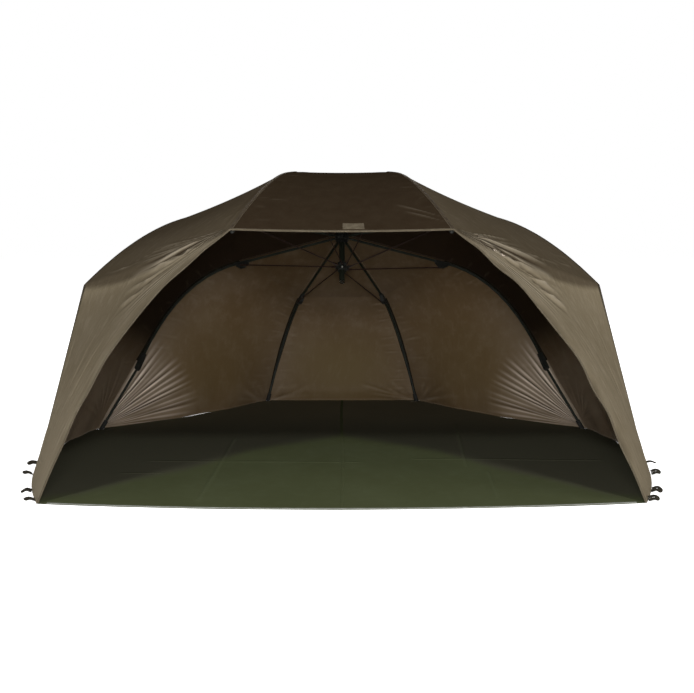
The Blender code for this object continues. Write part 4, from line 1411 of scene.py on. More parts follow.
    def half(self, panel: Panel, first: bool) -> dict[str, np.ndarray]:
        """The half of a panel that folds with one of its ribs, with its seam column first.

        Args:
            panel: the panel.
            first: whether the rib is the one at share 0.

        Returns:
            Its points, ways out and marks, as grids.
        """
        rows, shares, spots, relief, ways = self.fine(panel)
        across = run_lengths(spots, 1)
        along = run_lengths(spots, 0)
        width = across[:, -1:]
        seam = np.minimum(across, width - across)
        hem = along[-1:] - along
        fold = relief / self.fold_unit
        whole = {
            "spots": spots,
            "ways": ways,
            "cut": np.stack([across, along, fold], axis=-1),
            "edge": np.stack([seam, hem, 0 * seam], axis=-1),
            "fan": panel.fan_marks(spots),
            **Tones(*np.meshgrid(rows, shares, indexing="ij"), panel.on_right).faces(panel.kind),
        }
        pick = slice(0, self.half_columns + 1) if first else slice(None, self.half_columns - 1, -1)
        return {key: grid[:, pick] for key, grid in whole.items()}

    def build(self) -> None:
        """Builds the cloth over each rib, and its middle."""
        finishes = (self.palette.outside.make(), self.palette.inside.make())
        self.by_key.update({panel.key: panel for panel in self.panels()})
        for rib in self.ribs().values():
            self.gore(rib, *finishes)
        self.crown(*finishes)

    def neighbours(self, key: str) -> list[tuple[Panel, float]]:
        """The two panels beside a rib.

        Args:
            key: the rib's key.

        Returns:
            Each panel with the rib's share on it.
        """
        kind, side = key.rsplit("_", 1)
        panels = self.by_key
        end = 0.0 if side == "left" else 1.0
        return {
            "back": [(panels["back"], end), (panels[f"back_side_{side}"], 0.0)],
            "side": [(panels[f"back_side_{side}"], 1.0), (panels[f"side_{side}"], 0.0)],
            "front_side": [(panels[f"side_{side}"], 1.0), (panels[f"front_side_{side}"], 0.0)],
            "front": [(panels[f"front_side_{side}"], 1.0), (panels["front"], end)],
        }[kind]

    def gore(self, rib: RibLine, outside: bpy.types.Material, inside: bpy.types.Material) -> None:
        """Builds the cloth that folds with one rib.

        Args:
            rib: the rib.
            outside: the outer face's material.
            inside: the inner face's material.
        """
        beside = self.neighbours(rib.key)
        grids = [self.half(panel, share == 0) for panel, share in beside]
        grids.sort(key=lambda grid: -len(grid["spots"]))
        full, other = grids
        columns = self.half_columns + 1
        long, short = len(full["spots"]), len(other["spots"])
        number = np.arange(long * columns).reshape(long, columns)
        second = np.zeros((short, columns), int)
        second[:, 0] = number[:short, 0]
        second[:, 1:] = number.size + np.arange(short * (columns - 1)).reshape(short, columns - 1)
        points = np.vstack([full["spots"].reshape(-1, 3), other["spots"][:, 1:].reshape(-1, 3)])
        seam_ways = full["ways"].copy()
        seam_ways[:short, 0] = units(full["ways"][:short, 0] + other["ways"][:, 0])
        ways = np.vstack([seam_ways.reshape(-1, 3), other["ways"][:, 1:].reshape(-1, 3)])
        near_ground = points[:, 2] < self.ground_reach
        ways[near_ground] = units(ways[near_ground] * LEVEL)
        quads, shades = [], []
        for grid, index in ((full, number), (other, second)):
            local = grid_quads(*index.shape)
            flat, out = grid["spots"].reshape(-1, 3), grid["ways"].reshape(-1, 3)
            local = facing(flat, local, out)
            quads.append(index.ravel()[local])
            shades.append(out[local])
        marks = {
            key: np.vstack([full[key].reshape(-1, 3), other[key][:, 1:].reshape(-1, 3)])
            for key in ("cut", "edge", "fan", "outer", "inner")
        }
        skin = Skin(points, ways, np.vstack(quads), np.vstack(shades), self.thickness, marks)
        piece = skin.build(f"cloth_{rib.key}", outside, inside)
        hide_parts(*(f"canopy_{panel.key}" for panel, _ in beside))
        self.fold(piece, rib)

    @staticmethod
    def area(spots: np.ndarray) -> float:
        """The area of a grid of points."""
        a, b, c, d = spots[:-1, :-1], spots[:-1, 1:], spots[1:, 1:], spots[1:, :-1]
        return float(np.linalg.norm(np.cross(c - a, d - b), axis=-1).sum() / 2)

    def fold(self, piece: bpy.types.Object, rib: RibLine) -> None:
        """Lets a soft piece ride on a rib, so that it moves with the rib as the umbrella folds."""
        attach(piece, rib.body)
        anchor = self.stance.hub + SHIFT
        axis = self.stance.lateral(rib.azimuth)
        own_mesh(piece)

    def crown(self, outside: bpy.types.Material, inside: bpy.types.Material) -> None:
        """The middle of the cloth, held flat between the hub and its cap.

        Args:
            outside: the outer face's material.
            inside: the inner face's material.
        """
        turns = np.linspace(0, FULL_TURN, self.crown_steps + 1)[:-1]
        radii = np.linspace(self.hole_radius, self.hub_radius + self.cloth_gauge, self.crown_rings)
        ring = np.array([self.stance.radial(turn) for turn in turns])
        spots = self.stance.hub + radii[:, None, None] * ring[None] + self.stance.up * self.cloth_height
        ways = np.broadcast_to(self.stance.up, spots.shape)
        none = 0 * spots
        # Painted shade on both faces, as on the roof round it.
        dark = none + np.array([0.9, 0, 0])
        marks = {"cut": spots * LEVEL, "edge": none + LEVEL, "fan": none, "outer": dark, "inner": dark}
        skin = sheet_of(spots, ways, self.thickness, marks, closed=True)
        piece = skin.build("cloth_crown", outside, inside)
        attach(piece, "umbrella")


@dataclass
class Wrinkles:
    """The wrinkles of one panel, as a pitched umbrella shows them."""

    panel: Panel
    random: np.random.Generator

    def add(self, start: Pair, end: Pair, width: float, height: float) -> None:
        """Lays one wrinkle."""
        self.panel.creases.append(Crease(start, end, width, height))

    def lay(self) -> None:
        """Lays the wrinkles that this kind of panel has."""
        {
            "back": self.back,
            "back_side": self.back_side,
            "side": self.side,
            "front_side": self.front_side,
            "front": self.front,
        }[self.panel.kind]()

    def spread(self, low: float, high: float) -> float:
        """A random number in a range."""
        return float(self.random.uniform(low, high))

    def along_seams(self, count: int, first: float, last: float, height: float) -> None:
        """Short puckers square to both seams, where the stitching draws the cloth in.

        Args:
            count: how many there are beside each seam.
            first: the row of the first.
            last: the row of the last.
            height: the highest one's height.
        """
        for share in (0.0, 1.0):
            way = 1 if share == 0 else -1
            for row in np.linspace(first, last, count):
                row = float(row) + self.spread(-0.15, 0.15)
                reach = self.spread(0.06, 0.2)
                start = (row, share + way * 0.008)
                end = (row + self.spread(-0.2, 0.3), share + way * reach)
                self.add(start, end, self.spread(6, 12) * MM, height * self.spread(0.4, 1.0))

    def fan(
        self, row: float, share: float, count: int, reach: float, sweep: Pair, height: float,
        narrow: float = 1.0
    ) -> None:
        """Folds that radiate from one point, as from a foot that draws the cloth tight.

        Args:
            row: the point's row.
            share: its share across.
            count: how many folds there are.
            reach: how far the longest goes, as a share of the panel's width. Below 0 it goes down the panel.
            sweep: the first and last turn from straight along the seam, in radians.
            height: the highest fold's height.
            narrow: a factor on the folds' widths.
        """
        low, high = sweep
        for k in range(count):
            turn = low + (high - low) * (k + self.spread(0.15, 0.85)) / count
            far = reach * self.spread(0.55, 1.0)
            end = (row - far * 6.5 * math.cos(turn), share + abs(far) * 0.95 * math.sin(turn))
            self.add((row, share), end, self.spread(9, 18) * MM * narrow, height * self.spread(0.5, 1.0))

    def back(self) -> None:
        """The back panel: shallow puckers by its seams and folds up from its two feet."""
        self.along_seams(11, 5, 15.5, 2.4 * MM)
        self.fan(17, 0.02, 6, 0.5, (0.15, 1.2), 5 * MM)
        self.fan(17, 0.98, 6, 0.5, (-1.2, -0.15), 5 * MM)

    def back_side(self) -> None:
        """The panels beside the back: a fan of folds up from the side foot, and light under the hem."""
        self.along_seams(11, 5, 15, 2.4 * MM)
        self.add((16.7, 0.98), (16.2, 0.50), 20 * MM, 6 * MM)
        self.add((16.7, 0.98), (15.2, 0.55), 16 * MM, 5 * MM)
        self.fan(16.6, 0.98, 8, 0.55, (-1.15, -0.08), 3.6 * MM, 0.9)
        self.fan(17, 0.02, 5, 0.4, (0.15, 1.1), 5 * MM)
        self.panel.rays = Rays(16.9, 0.995, (-3, -0.3), (-0.1, 1.25), 0.60, fade=0.95)
        middle, wide, high = (0.60, 0.08, 2.0 * MM) if self.panel.on_right else (0.47, 0.13, 2.2 * MM)
        self.panel.lift = lambda share: high * np.clip(1 - ((share - middle) / wide) ** 2, 0, 1)

    def side(self) -> None:
        """The side panels: a strong fan of folds from the side foot, and folds under the outer corner."""
        self.along_seams(11, 5, 15, 2.6 * MM)
        self.fan(16.4, 0.03, 6, 0.6, (0.05, 1.35), 3 * MM, 0.9)
        self.fan(11, 0.97, 6, -0.5, (-1.2, -0.2), 5 * MM)

    def front_side(self) -> None:
        """The front walls: folds fanned from the tip along the cloth's turn, and streaks down the wall."""
        self.along_seams(8, 4.5, 10.5, 2.4 * MM)
        right = self.panel.on_right
        bold = 1.0 if right else 0.6
        for k in range(11):
            fall = (k - 4) / 6
            row = 11 + 0.25 * fall + self.spread(-0.1, 0.1)
            start = (row, 0.90 - 0.05 * abs(fall) + self.spread(-0.05, 0.05))
            reach = self.spread(0.22, 0.5)
            end = (start[0] + fall * self.spread(0.7, 1.3), start[1] - reach)
            self.add(start, end, self.spread(8, 15) * MM, self.spread(5, 11) * MM * bold)
        for k in range(4):
            start = (11.0 + 0.42 * k, 0.84 - 0.04 * k)
            end = (10.9 + 0.55 * k, 0.40 + 0.05 * k + self.spread(-0.05, 0.05))
            self.add(start, end, self.spread(16, 24) * MM, self.spread(10, 14) * MM * bold)
        for k in range(5):
            share = 0.10 + 0.11 * k + self.spread(-0.03, 0.03)
            row = 10.8 + self.spread(-0.5, 0.2)
            end = (row + self.spread(-0.4, 0.2), share + self.spread(0.12, 0.22))
            self.add((row, share), end, self.spread(8, 14) * MM, self.spread(3, 6) * MM)
        for k in range(12):
            share = 0.10 + 0.075 * k + self.spread(-0.03, 0.03)
            top = 12.0 + self.spread(0.0, 2.2)
            end = (top + self.spread(1.5, 3.4), share + self.spread(-0.05, 0.05))
            self.add((top, share), end, self.spread(7, 15) * MM, self.spread(2, 5.5) * MM)
        if not right:
            self.add((6.2, 0.965), (10.9, 0.955), 13 * MM, 8 * MM)
        self.panel.rays = Rays(10.9, 0.985, (-3, -0.2), (0.95, 2.1), 0.62, 1.0)
        depth = (4.5 if right else 2.0) * MM
        self.panel.ripple = lambda row, share: (
            depth * smooth((share - 0.84) / 0.16) * smooth((row - 11) / 0.7) * smooth((17 - row) / 1.0)
            * np.sin(FULL_TURN * (row - 11) / 1.35 + 0.9 * np.sin(row * 2.1))
        )

    def front(self) -> None:
        """The front of the roof: nearly smooth, with small puckers by its seams and two by the right tip."""
        self.along_seams(8, 4.5, 10.2, 2.0 * MM)
        for k in range(2):
            self.add((10.5 - 0.35 * k, 0.985), (9.7 - 0.5 * k, 0.82 - 0.03 * k), 13 * MM, 3.5 * MM)


@dataclass
class Trims:
    """The tapes on the canopy: a binding and a lining at each rib's seam, the hem tapes and a plain tab."""

    palette: Palette
    canopy: Canopy
    binding_width: float = 15 * MM
    binding_gauge: float = 1.3 * MM
    binding_clear: float = 0.3 * MM
    binding_slump: float = 0.8
    binding_steps: int = 150
    first_row: float = 1.1
    end_gap: float = 0.02
    sharpest: float = 0.5
    lining_width: float = 26 * MM
    lining_clear: float = 0.4 * MM
    lining_from: float = 0.2
    side_lining_to: float = 0.74
    hem_width: float = 8 * MM
    hem_gauge: float = 1.5 * MM
    hem_steps: int = 90
    arch_steps: int = 110
    tab_size: Pair = (0.086, 0.030)
    tab_from: Pair = (0.12, 0.503)
    tab_steps: tuple[int, int] = (6, 12)
    row_length: float = 0.085
    hem_length: float = 0.86

    def build(self) -> None:
        """Builds every tape."""
        binding, lining = self.palette.binding.make(), self.palette.lining.make()
        hem_finish = self.palette.hem_tape.make()
        hem = Strip(self.hem_width, self.canopy.thickness + 2 * self.hem_gauge, 0.0, hem_finish)
        ribs = self.canopy.ribs()
        for rib in ribs.values():
            self.seam(rib, binding, lining)
        for side, _ in SIDES:
            self.front_hem(hem, ribs[f"front_{side}"], side)
            self.arch_hem(hem, ribs[f"front_{side}"], side)
        self.tab(ribs["front_right"], hem_finish)

    def line_on(self, panel: Panel, rows: np.ndarray, shares: np.ndarray) -> tuple[np.ndarray, np.ndarray]:
        """Reads a panel's finished cloth.

        Args:
            panel: the panel.
            rows: the points' rows.
            shares: their shares across.

        Returns:
            The points and the ways out there.
        """
        fine, columns, spots, _, ways = self.canopy.fine(panel)
        row_at = np.interp(rows, fine, np.arange(len(fine)))
        column_at = shares * (len(columns) - 1)
        i = np.clip(row_at.astype(int), 0, len(fine) - 2)
        j = np.clip(column_at.astype(int), 0, len(columns) - 2)
        s, t = (row_at - i)[:, None], (column_at - j)[:, None]
        read = []
        for grid in (spots, ways):
            near = grid[i, j] * (1 - t) + grid[i, j + 1] * t
            far = grid[i + 1, j] * (1 - t) + grid[i + 1, j + 1] * t
            read.append(near * (1 - s) + far * s)
        return read[0], units(read[1])

    def sew(self, piece: bpy.types.Object, rib: RibLine) -> None:
        """Lets a piece fold with a rib as part of the canopy."""
        self.canopy.fold(piece, rib)

    def seam(self, rib: RibLine, binding: bpy.types.Material, lining: bpy.types.Material) -> None:
        """The binding that covers the seam over a rib, and the lining under it.

        Args:
            rib: the rib.
            binding: the binding's material.
            lining: the lining's material.
        """
        beside = self.canopy.neighbours(rib.key)
        last_row = min(panel.rows for panel, _ in beside) - self.end_gap
        rows = np.linspace(self.first_row, last_row, self.binding_steps)
        read = [self.line_on(panel, rows, np.full_like(rows, share)) for panel, share in beside]
        (line, one), (_, two) = read
        ways = units(one + two)
        bend = float(np.mean(np.arccos(np.clip((one * two).sum(axis=1), -1, 1)))) / 2
        steep = math.tan(min(bend, self.sharpest))
        rise = self.canopy.thickness / 2 + self.binding_gauge / 2
        slump = self.binding_width / 2 * steep * self.binding_slump
        over = Strip(self.binding_width, self.binding_gauge, rise + self.binding_clear, binding, slump)
        self.sew(over.build(f"seam_binding_{rib.key}", line, ways), rib)
        slump = -self.lining_width / 2 * steep
        under = Strip(self.lining_width, self.binding_gauge, rise + self.lining_clear, lining, slump)
        last = self.side_lining_to if rib.key.startswith("side") else 1
        lined = slice(int(self.lining_from * len(line)), int(last * len(line)))
        self.sew(under.build(f"seam_lining_{rib.key}", line[lined], -ways[lined]), rib)

    def front_hem(self, hem: Strip, rib: RibLine, side: str) -> None:
        """Half of the tape along the front hem."""
        panel = self.canopy.by_key["front"]
        low, high = (0.0, 0.5) if side == "left" else (0.5, 1.0)
        shares = np.linspace(low, high, self.hem_steps)
        line, ways = self.line_on(panel, np.full_like(shares, panel.rows), shares)
        self.sew(hem.build(f"front_hem_tape_{side}", line, ways), rib)

    def arch_hem(self, hem: Strip, rib: RibLine, side: str) -> None:
        """The tape down one side of the arch."""
        panel = self.canopy.by_key[f"front_side_{side}"]
        rows = np.linspace(self.canopy.roof_rows, panel.rows - self.end_gap, self.arch_steps)
        line, ways = self.line_on(panel, rows, np.full_like(rows, 1.0))
        self.sew(hem.build(f"arch_hem_tape_{side}", line, ways), rib)

    def tab(self, rib: RibLine, finish: bpy.types.Material) -> None:
        """A plain tape tab stitched over the front hem.

        Args:
            rib: the rib that it folds with.
            finish: its material.
        """
        panel = self.canopy.by_key["front"]
        width, height = self.tab_size
        row, share = panel.rows - self.tab_from[0], self.tab_from[1]
        level_count, share_count = self.tab_steps
        shares = np.linspace(share, share + width / self.hem_length, share_count)
        levels = np.linspace(row, row - height / self.row_length, level_count)
        lines = [self.line_on(panel, np.full_like(shares, level), shares) for level in levels]
        spots, ways = (np.stack(part) for part in zip(*lines))
        spots = spots + ways * (self.canopy.thickness / 2 + self.hem_gauge / 2)
        across, along = run_lengths(spots, 1), run_lengths(spots, 0)
        marks = {
            "cut": np.stack([across, along, 0 * along], axis=-1),
            "edge": np.stack([np.minimum(along, along[-1:] - along), 0 * along + 1, 0 * along], axis=-1),
        }
        skin = sheet_of(spots, ways, self.hem_gauge, marks)
        self.sew(skin.build("front_tape_tab", finish, finish), rib)


@dataclass
class Groundsheet:
    """The loose sheet on the ground inside the hem, with a seam down its middle and a turned hem."""

    palette: Palette
    canopy: Canopy
    gauge: float = 2 * MM
    inset: float = 3.2 * MM
    pad_clear: float = 3 * MM
    sole_height: float = 6 * MM
    front_bow: float = 0.080
    rings: int = 34
    round_count: int = 1320
    hem_points: int = 1600
    patch_gauge: float = 0.6 * MM
    patch_width: float = 22 * MM
    patch_clear: float = 0.5 * MM
    patch_grid: tuple[int, int] = (5, 73)
    seam_width: float = 14 * MM
    seam_rise: float = 0.4 * MM
    seam_inset: float = 3 * MM
    seam_wander: float = 4 * MM
    seam_steps: int = 160
    tape_width: float = 11 * MM
    tape_gauge: float = 1 * MM
    tape_rise: float = 0.5 * MM
    tape_lift: float = 1.9 * MM
    tape_steps: int = 260
    tape_short: int = 4
    front_count: int = 80
    centre: Pair = (0.0, 0.75)
    innermost: float = 0.012
    ring_power: float = 0.8
    outer_rings: float = 0.08
    ripple_height: float = 1.4 * MM
    slope_step: float = 2 * MM
    # How deep the painted shadow on the sheet is.
    dusty: float = 0.85
    shade_across: tuple[float, ...] = (0.0, 0.34, 0.46, 0.68, 0.88, 1.07, 1.3)
    shade_limit: tuple[float, ...] = (1.09, 0.86, 0.76, 0.46, 0.29, 0.08, 0.0)

    def hem_line(self) -> tuple[np.ndarray, np.ndarray]:
        """The canopy's foot on the right.

        Returns:
            Its points from the middle of the back to the front corner, and the ways in there.
        """
        lines = []
        for key in ("back", "back_side_right", "side_right", "front_side_right"):
            spots = self.canopy.fine(self.canopy.by_key[key])[2][-1]
            lines.append(spots[self.canopy.half_columns:] if key == "back" else spots[1:])
        hem = spaced(np.vstack(lines)[:, :2], self.hem_points)
        run = np.gradient(hem, axis=0)
        inward = units(np.stack([run[:, 1], -run[:, 0]], axis=1))
        middle = np.array([0, self.canopy.stance.hub_setback / 2])
        return hem, inward * np.sign((inward * (middle - hem)).sum(axis=1))[:, None]

    def pad(self, name: str) -> tuple[np.ndarray, float]:
        """The middle of a foot on the ground and how far it reaches from there."""
        node = frame["nodes"][name]
        spots = np.array([node.matrix_world @ vertex.co for vertex in node.data.vertices])
        sole = spots[spots[:, 2] < self.sole_height][:, :2] - SHIFT[:2]
        middle = (sole.min(axis=0) + sole.max(axis=0)) / 2
        return middle, float(np.linalg.norm(sole - middle, axis=1).max())

    def outline(self) -> tuple[np.ndarray, np.ndarray]:
        """The sheet's edge, round from the middle of the back.

        Returns:
            Its points without and with the cut-outs for the feet.
        """
        hem, inward = self.hem_line()
        inset = np.full(len(hem), self.inset)
        close = np.zeros(len(hem), bool)
        for kind in ("back", "side"):
            pad, reach = self.pad(f"foot_{kind}_right")
            reach += self.pad_clear
            away = pad - hem
            depth = (away * inward).sum(axis=1)
            gap = np.abs(away[:, 0] * inward[:, 1] - away[:, 1] * inward[:, 0])
            round_pad = depth + np.sqrt(np.maximum(reach**2 - gap**2, 0))
            beside = (gap < reach) & (np.linalg.norm(away, axis=1) < 3 * reach)
            inset = np.where(beside, np.maximum(inset, round_pad), inset)
            close |= np.linalg.norm(away, axis=1) < 2.2 * reach
        edges = []
        for depth in (self.inset, inset[:, None]):
            edge = hem + inward * depth
            edge[0, 0] = 0
            corner = edge[-1]
            x = corner[0] * (1 - 2 * np.arange(1, self.front_count) / self.front_count)
            front = np.stack([x, corner[1] - self.front_bow * (1 - (x / corner[0]) ** 2)], axis=1)
            edges.append(np.vstack([edge, front, edge[:0:-1] * np.array([-1, 1]), edge[:1]]))
        close = np.concatenate([close, np.zeros(self.front_count - 1, bool), close[:0:-1], close[:1]])
        both = np.hstack(edges)
        steps = np.linalg.norm(np.diff(both[:, :2], axis=0), axis=1) * (1 + 3 * close[1:])
        run = np.concatenate([[0.0], np.cumsum(steps)])
        at = np.linspace(0, run[-1], self.round_count + 1)[:-1]
        both = np.column_stack([np.interp(at, run, column) for column in both.T])
        return both[:, :2], both[:, 2:]

    def patches(self) -> None:
        """Flat dark patches round the four feet that fill the sheet's cut-outs there: painted shade where the
        floor would show.
        """
        hem, inward = self.hem_line()
        # The dark lining's colour here is painted shade.
        finish = self.palette.lining.make()
        across, around = self.patch_grid
        shares = np.linspace(0, 1, across)[:, None, None]
        turns = np.linspace(0, FULL_TURN, around)
        ways = np.stack([np.cos(turns), np.sin(turns)], axis=1)
        for kind in ("back", "side"):
            middle, reach = self.pad(f"foot_{kind}_right")
            outer = middle + ways * (reach + self.patch_width)
            nearest = np.linalg.norm(outer[:, None] - hem[None], axis=2).argmin(axis=1)
            depth = ((outer - hem[nearest]) * inward[nearest]).sum(axis=1)
            held = hem[nearest] + inward[nearest] * Canopy.thickness
            outer = np.where((depth < Canopy.thickness)[:, None], held, outer)
            inner = middle + ways * (reach + self.patch_clear)
            flat = inner * (1 - shares) + outer * shares
            for side, way in SIDES:
                height = np.full(flat.shape[:2], self.patch_gauge)
                spots = np.dstack([flat[..., 0] * way, flat[..., 1], height])
                marks = {"cut": spots, "edge": np.ones_like(spots)}
                skin = sheet_of(spots, np.broadcast_to(UP, spots.shape), self.patch_gauge, marks)
                self.lay(skin.build(f"groundsheet_foot_patch_{kind}_{side}", finish, finish))

    @staticmethod
    def lay(piece: bpy.types.Object) -> None:
        """Lets a piece move with the groundsheet."""
        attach(piece, "groundsheet")

    def height(self, x: np.ndarray, y: np.ndarray) -> np.ndarray:
        """How far the sheet stands up from the ground: broad ripples and fold marks."""
        ripple = np.sin(5.1 * x + 1.7 * np.sin(2.3 * y)) * np.sin(3.7 * y + 0.8 + 1.2 * np.sin(1.9 * x))
        ripple += 0.5 * np.sin(11.3 * x - 4.1 * y + 0.6) * np.sin(6.2 * y + 1.9 * x)
        return self.gauge / 2 + self.ripple_height * (1.3 + ripple)

    def build(self) -> None:
        """Builds the sheet, its seam, its front tape and its patches of painted shade round the feet."""
        top, under = self.palette.sheet.make(), self.palette.sheet_back.make()
        closed, edge = self.outline()
        piece = self.skin(closed, edge).build("groundsheet_cloth", top, under)
        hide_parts("groundsheet")
        self.lay(piece)
        self.seam(edge)
        self.edge_tape(edge)
        self.patches()

    def skin(self, closed: np.ndarray, edge: np.ndarray) -> Skin:
        """The sheet as rings round its middle, with its ripples.

        Args:
            closed: its edge without the cut-outs for the feet.
            edge: its edge with them, which only the outermost rings follow.

        Returns:
            The sheet's middle surface, ready to be built.
        """
        centre = np.array(self.centre)
        rings = np.linspace(self.innermost, 1, self.rings) ** self.ring_power
        flat = centre + rings[:, None, None] * (closed - centre)[None]
        outer = smooth((rings - (1 - self.outer_rings)) / self.outer_rings)
        flat = flat + outer[:, None, None] * (edge - closed)[None]
        x, y = flat[..., 0], flat[..., 1]
        hold = 0.55 + 0.45 * smooth((1 - rings[:, None]) * 9)
        z = self.gauge / 2 + (self.height(x, y) - self.gauge / 2) * hold
        step = self.slope_step
        slope_x = (self.height(x + step, y) - self.height(x - step, y)) / (2 * step) * hold
        slope_y = (self.height(x, y + step) - self.height(x, y - step)) / (2 * step) * hold
        ways = units(np.dstack([-slope_x, -slope_y, np.ones_like(x)])).reshape(-1, 3)
        spots = np.vstack([np.dstack([x, y, z]).reshape(-1, 3), [*self.centre, z[0].mean()]])
        ways = np.vstack([ways, UP])
        inner = np.arange(len(closed)).reshape(-1, 2)
        tip = np.full(len(inner), x.size)
        cap = np.stack([inner[:, 0], inner[:, 1], np.roll(inner[:, 0], -1), tip], axis=1)
        quads = np.vstack([ring_quads(*x.shape), cap])
        a, b, c, d = (spots[quads[:, k]] for k in range(4))
        down = np.cross(c - a, d - b)[:, 2] < 0
        quads[down] = quads[down][:, ::-1]
        from_edge = (1 - rings)[:, None] * np.linalg.norm(closed - centre, axis=1)[None]
        hem = np.append(from_edge.ravel(), 1.0)
        marks = {
            "cut": spots * LEVEL,
            "edge": np.stack([0 * hem + 1, hem, 0 * hem], axis=-1),
            "outer": self.shade(spots),
        }
        return Skin(spots, ways, quads, ways[quads], self.gauge, marks)

    def shade(self, spots: np.ndarray) -> np.ndarray:
        """The canopy's painted shadow on the sheet behind its lit front, browner than the front, and a
        painted brown glow towards the rear.

        Args:
            spots: the sheet's points.

        Returns:
            Each point's marks (painted shade, painted light, painted glow).
        """
        x, y = spots[:, 0], spots[:, 1]
        limit = np.interp(np.abs(x), self.shade_across, self.shade_limit)
        # Painted shadow beyond the edge of the lit front.
        dust = self.dusty * smooth((y - limit + 0.04) / 0.14)
        # A painted brown glow towards the rear, standing in for light from the walls.
        rear = 0.5 * smooth((y - 1.0) / 0.7)
        return np.stack([dust, rear * 0, rear], axis=-1)

    def edge_tape(self, edge: np.ndarray) -> None:
        """The pale tape along the sheet's front edge.

        Args:
            edge: the points of the sheet's edge.
        """
        front = edge[edge[:, 1] < self.canopy.front_corner[1] + 2 * MM]
        front = front[np.argsort(front[:, 0])]
        front = spaced(front, self.tape_steps)[self.tape_short:-self.tape_short]
        front = front + np.array([0.0, self.tape_width / 2])
        line = np.column_stack([front, np.full(len(front), self.gauge + self.tape_lift)])
        tape = Strip(self.tape_width, self.tape_gauge, self.tape_rise, self.palette.sheet_edge.make())
        self.lay(tape.build("groundsheet_edge_tape", line, np.broadcast_to(UP, line.shape)))

    def seam(self, edge: np.ndarray) -> None:
        """The flat seam down the sheet's middle.

        Args:
            edge: the points of the sheet's edge.
        """
        first, last = edge[:, 1].min() + self.seam_inset, edge[0, 1] - self.seam_inset
        y = np.linspace(first, last, self.seam_steps)
        x = self.seam_wander * np.sin(3.1 * y)
        z = self.height(x, y) + self.gauge / 2
        line = np.stack([x, y, z], axis=1)
        tape = Strip(self.seam_width, self.tape_gauge, self.seam_rise, self.palette.sheet.make())
        self.lay(tape.build("groundsheet_seam", line, np.broadcast_to(UP, line.shape)))


@dataclass
class PegLoops:
    """The webbing loops at the foot of the front walls, each sewn to the hem and lying out from it."""

    shares: ClassVar[dict[str, float]] = {"corner": 0.96, "front": 0.74, "middle": 0.34, "rear": 0.05}

    palette: Palette
    canopy: Canopy
    length: float = 0.046
    half_width: float = 0.0115
    web: float = 0.0105
    gauge: float = 2.6 * MM
    stand: float = math.radians(46)
    skew: float = 0.45
    other_stand: float = -0.6
    start: float = 0.001
    straight_steps: int = 14
    bend_steps: int = 17
    columns: int = 10

    def build(self) -> None:
        """Builds all eight loops."""
        finish = self.palette.webbing.make()
        ribs = self.canopy.ribs()
        for side, _ in SIDES:
            panel = self.canopy.by_key[f"front_side_{side}"]
            for place, share in self.shares.items():
                rib = ribs[f"front_{side}"] if share > 0.5 else ribs[f"front_side_{side}"]
                self.loop(f"{place}_{side}", panel, share, rib, finish)

    def loop(self, name: str, panel: Panel, share: float, rib: RibLine, finish: bpy.types.Material) -> None:
        """Builds one loop.

        Args:
            name: its place and side.
            panel: the front wall that it is sewn to.
            share: how far along the wall's hem it is.
            rib: the rib that the hem there folds with.
            finish: its material.
        """
        column = min(self.columns - 1, int(share * self.columns))
        shares = np.array([column, column + 1]) / self.columns
        ends = panel.smooth_spots(np.full(2, float(panel.rows)), shares)
        run = units(ends[1] - ends[0])
        out = units(np.array([run[1], -run[0], 0.0]))
        foot = ends.mean(axis=0)
        if out @ (foot - np.array([0, self.canopy.stance.hub_setback / 2, 0])) < 0:
            out = -out
        foot[2] = 0
        foot = foot + out * Canopy.cloth_gauge / 2
        out = units(out + run * self.skew * math.sin(5.3 * column + 1.1))
        side = np.cross(UP, out)
        flat = self.plan()
        tilt = self.stand * (1 if column % 2 else self.other_stand)
        tipped = side * math.cos(tilt) + UP * math.sin(tilt)
        level = self.gauge + self.half_width * abs(math.sin(tilt)) + 0 * flat[:, 0]
        level += (5 + 3 * (column % 3)) * MM * np.sin(math.pi * np.clip(flat[:, 0] / self.length, 0, 1)) ** 2
        line = foot + flat[:, :1] * out + flat[:, 1:] * tipped + level[:, None] * UP
        ways = np.broadcast_to(UP * math.cos(tilt) - side * math.sin(tilt), line.shape)
        piece = Strip(self.web, self.gauge, 0.0, finish).build(f"peg_loop_webbing_{name}", line, ways)
        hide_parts(f"peg_loop_{name}")
        self.canopy.fold(piece, rib)

    def plan(self) -> np.ndarray:
        """A loop's line laid flat.

        Returns:
            Its points, out along one leg, round the bend and back along the other.
        """
        reach = self.half_width - self.web / 2
        leg = self.length - self.half_width
        turn = np.linspace(-math.pi / 2, math.pi / 2, self.bend_steps)
        straight = np.linspace(self.start, leg, self.straight_steps)[:-1]
        bend = [(leg + reach * math.cos(a), reach * math.sin(a)) for a in turn]
        return np.array([(a, -reach) for a in straight] + bend + [(a, reach) for a in straight[::-1]])


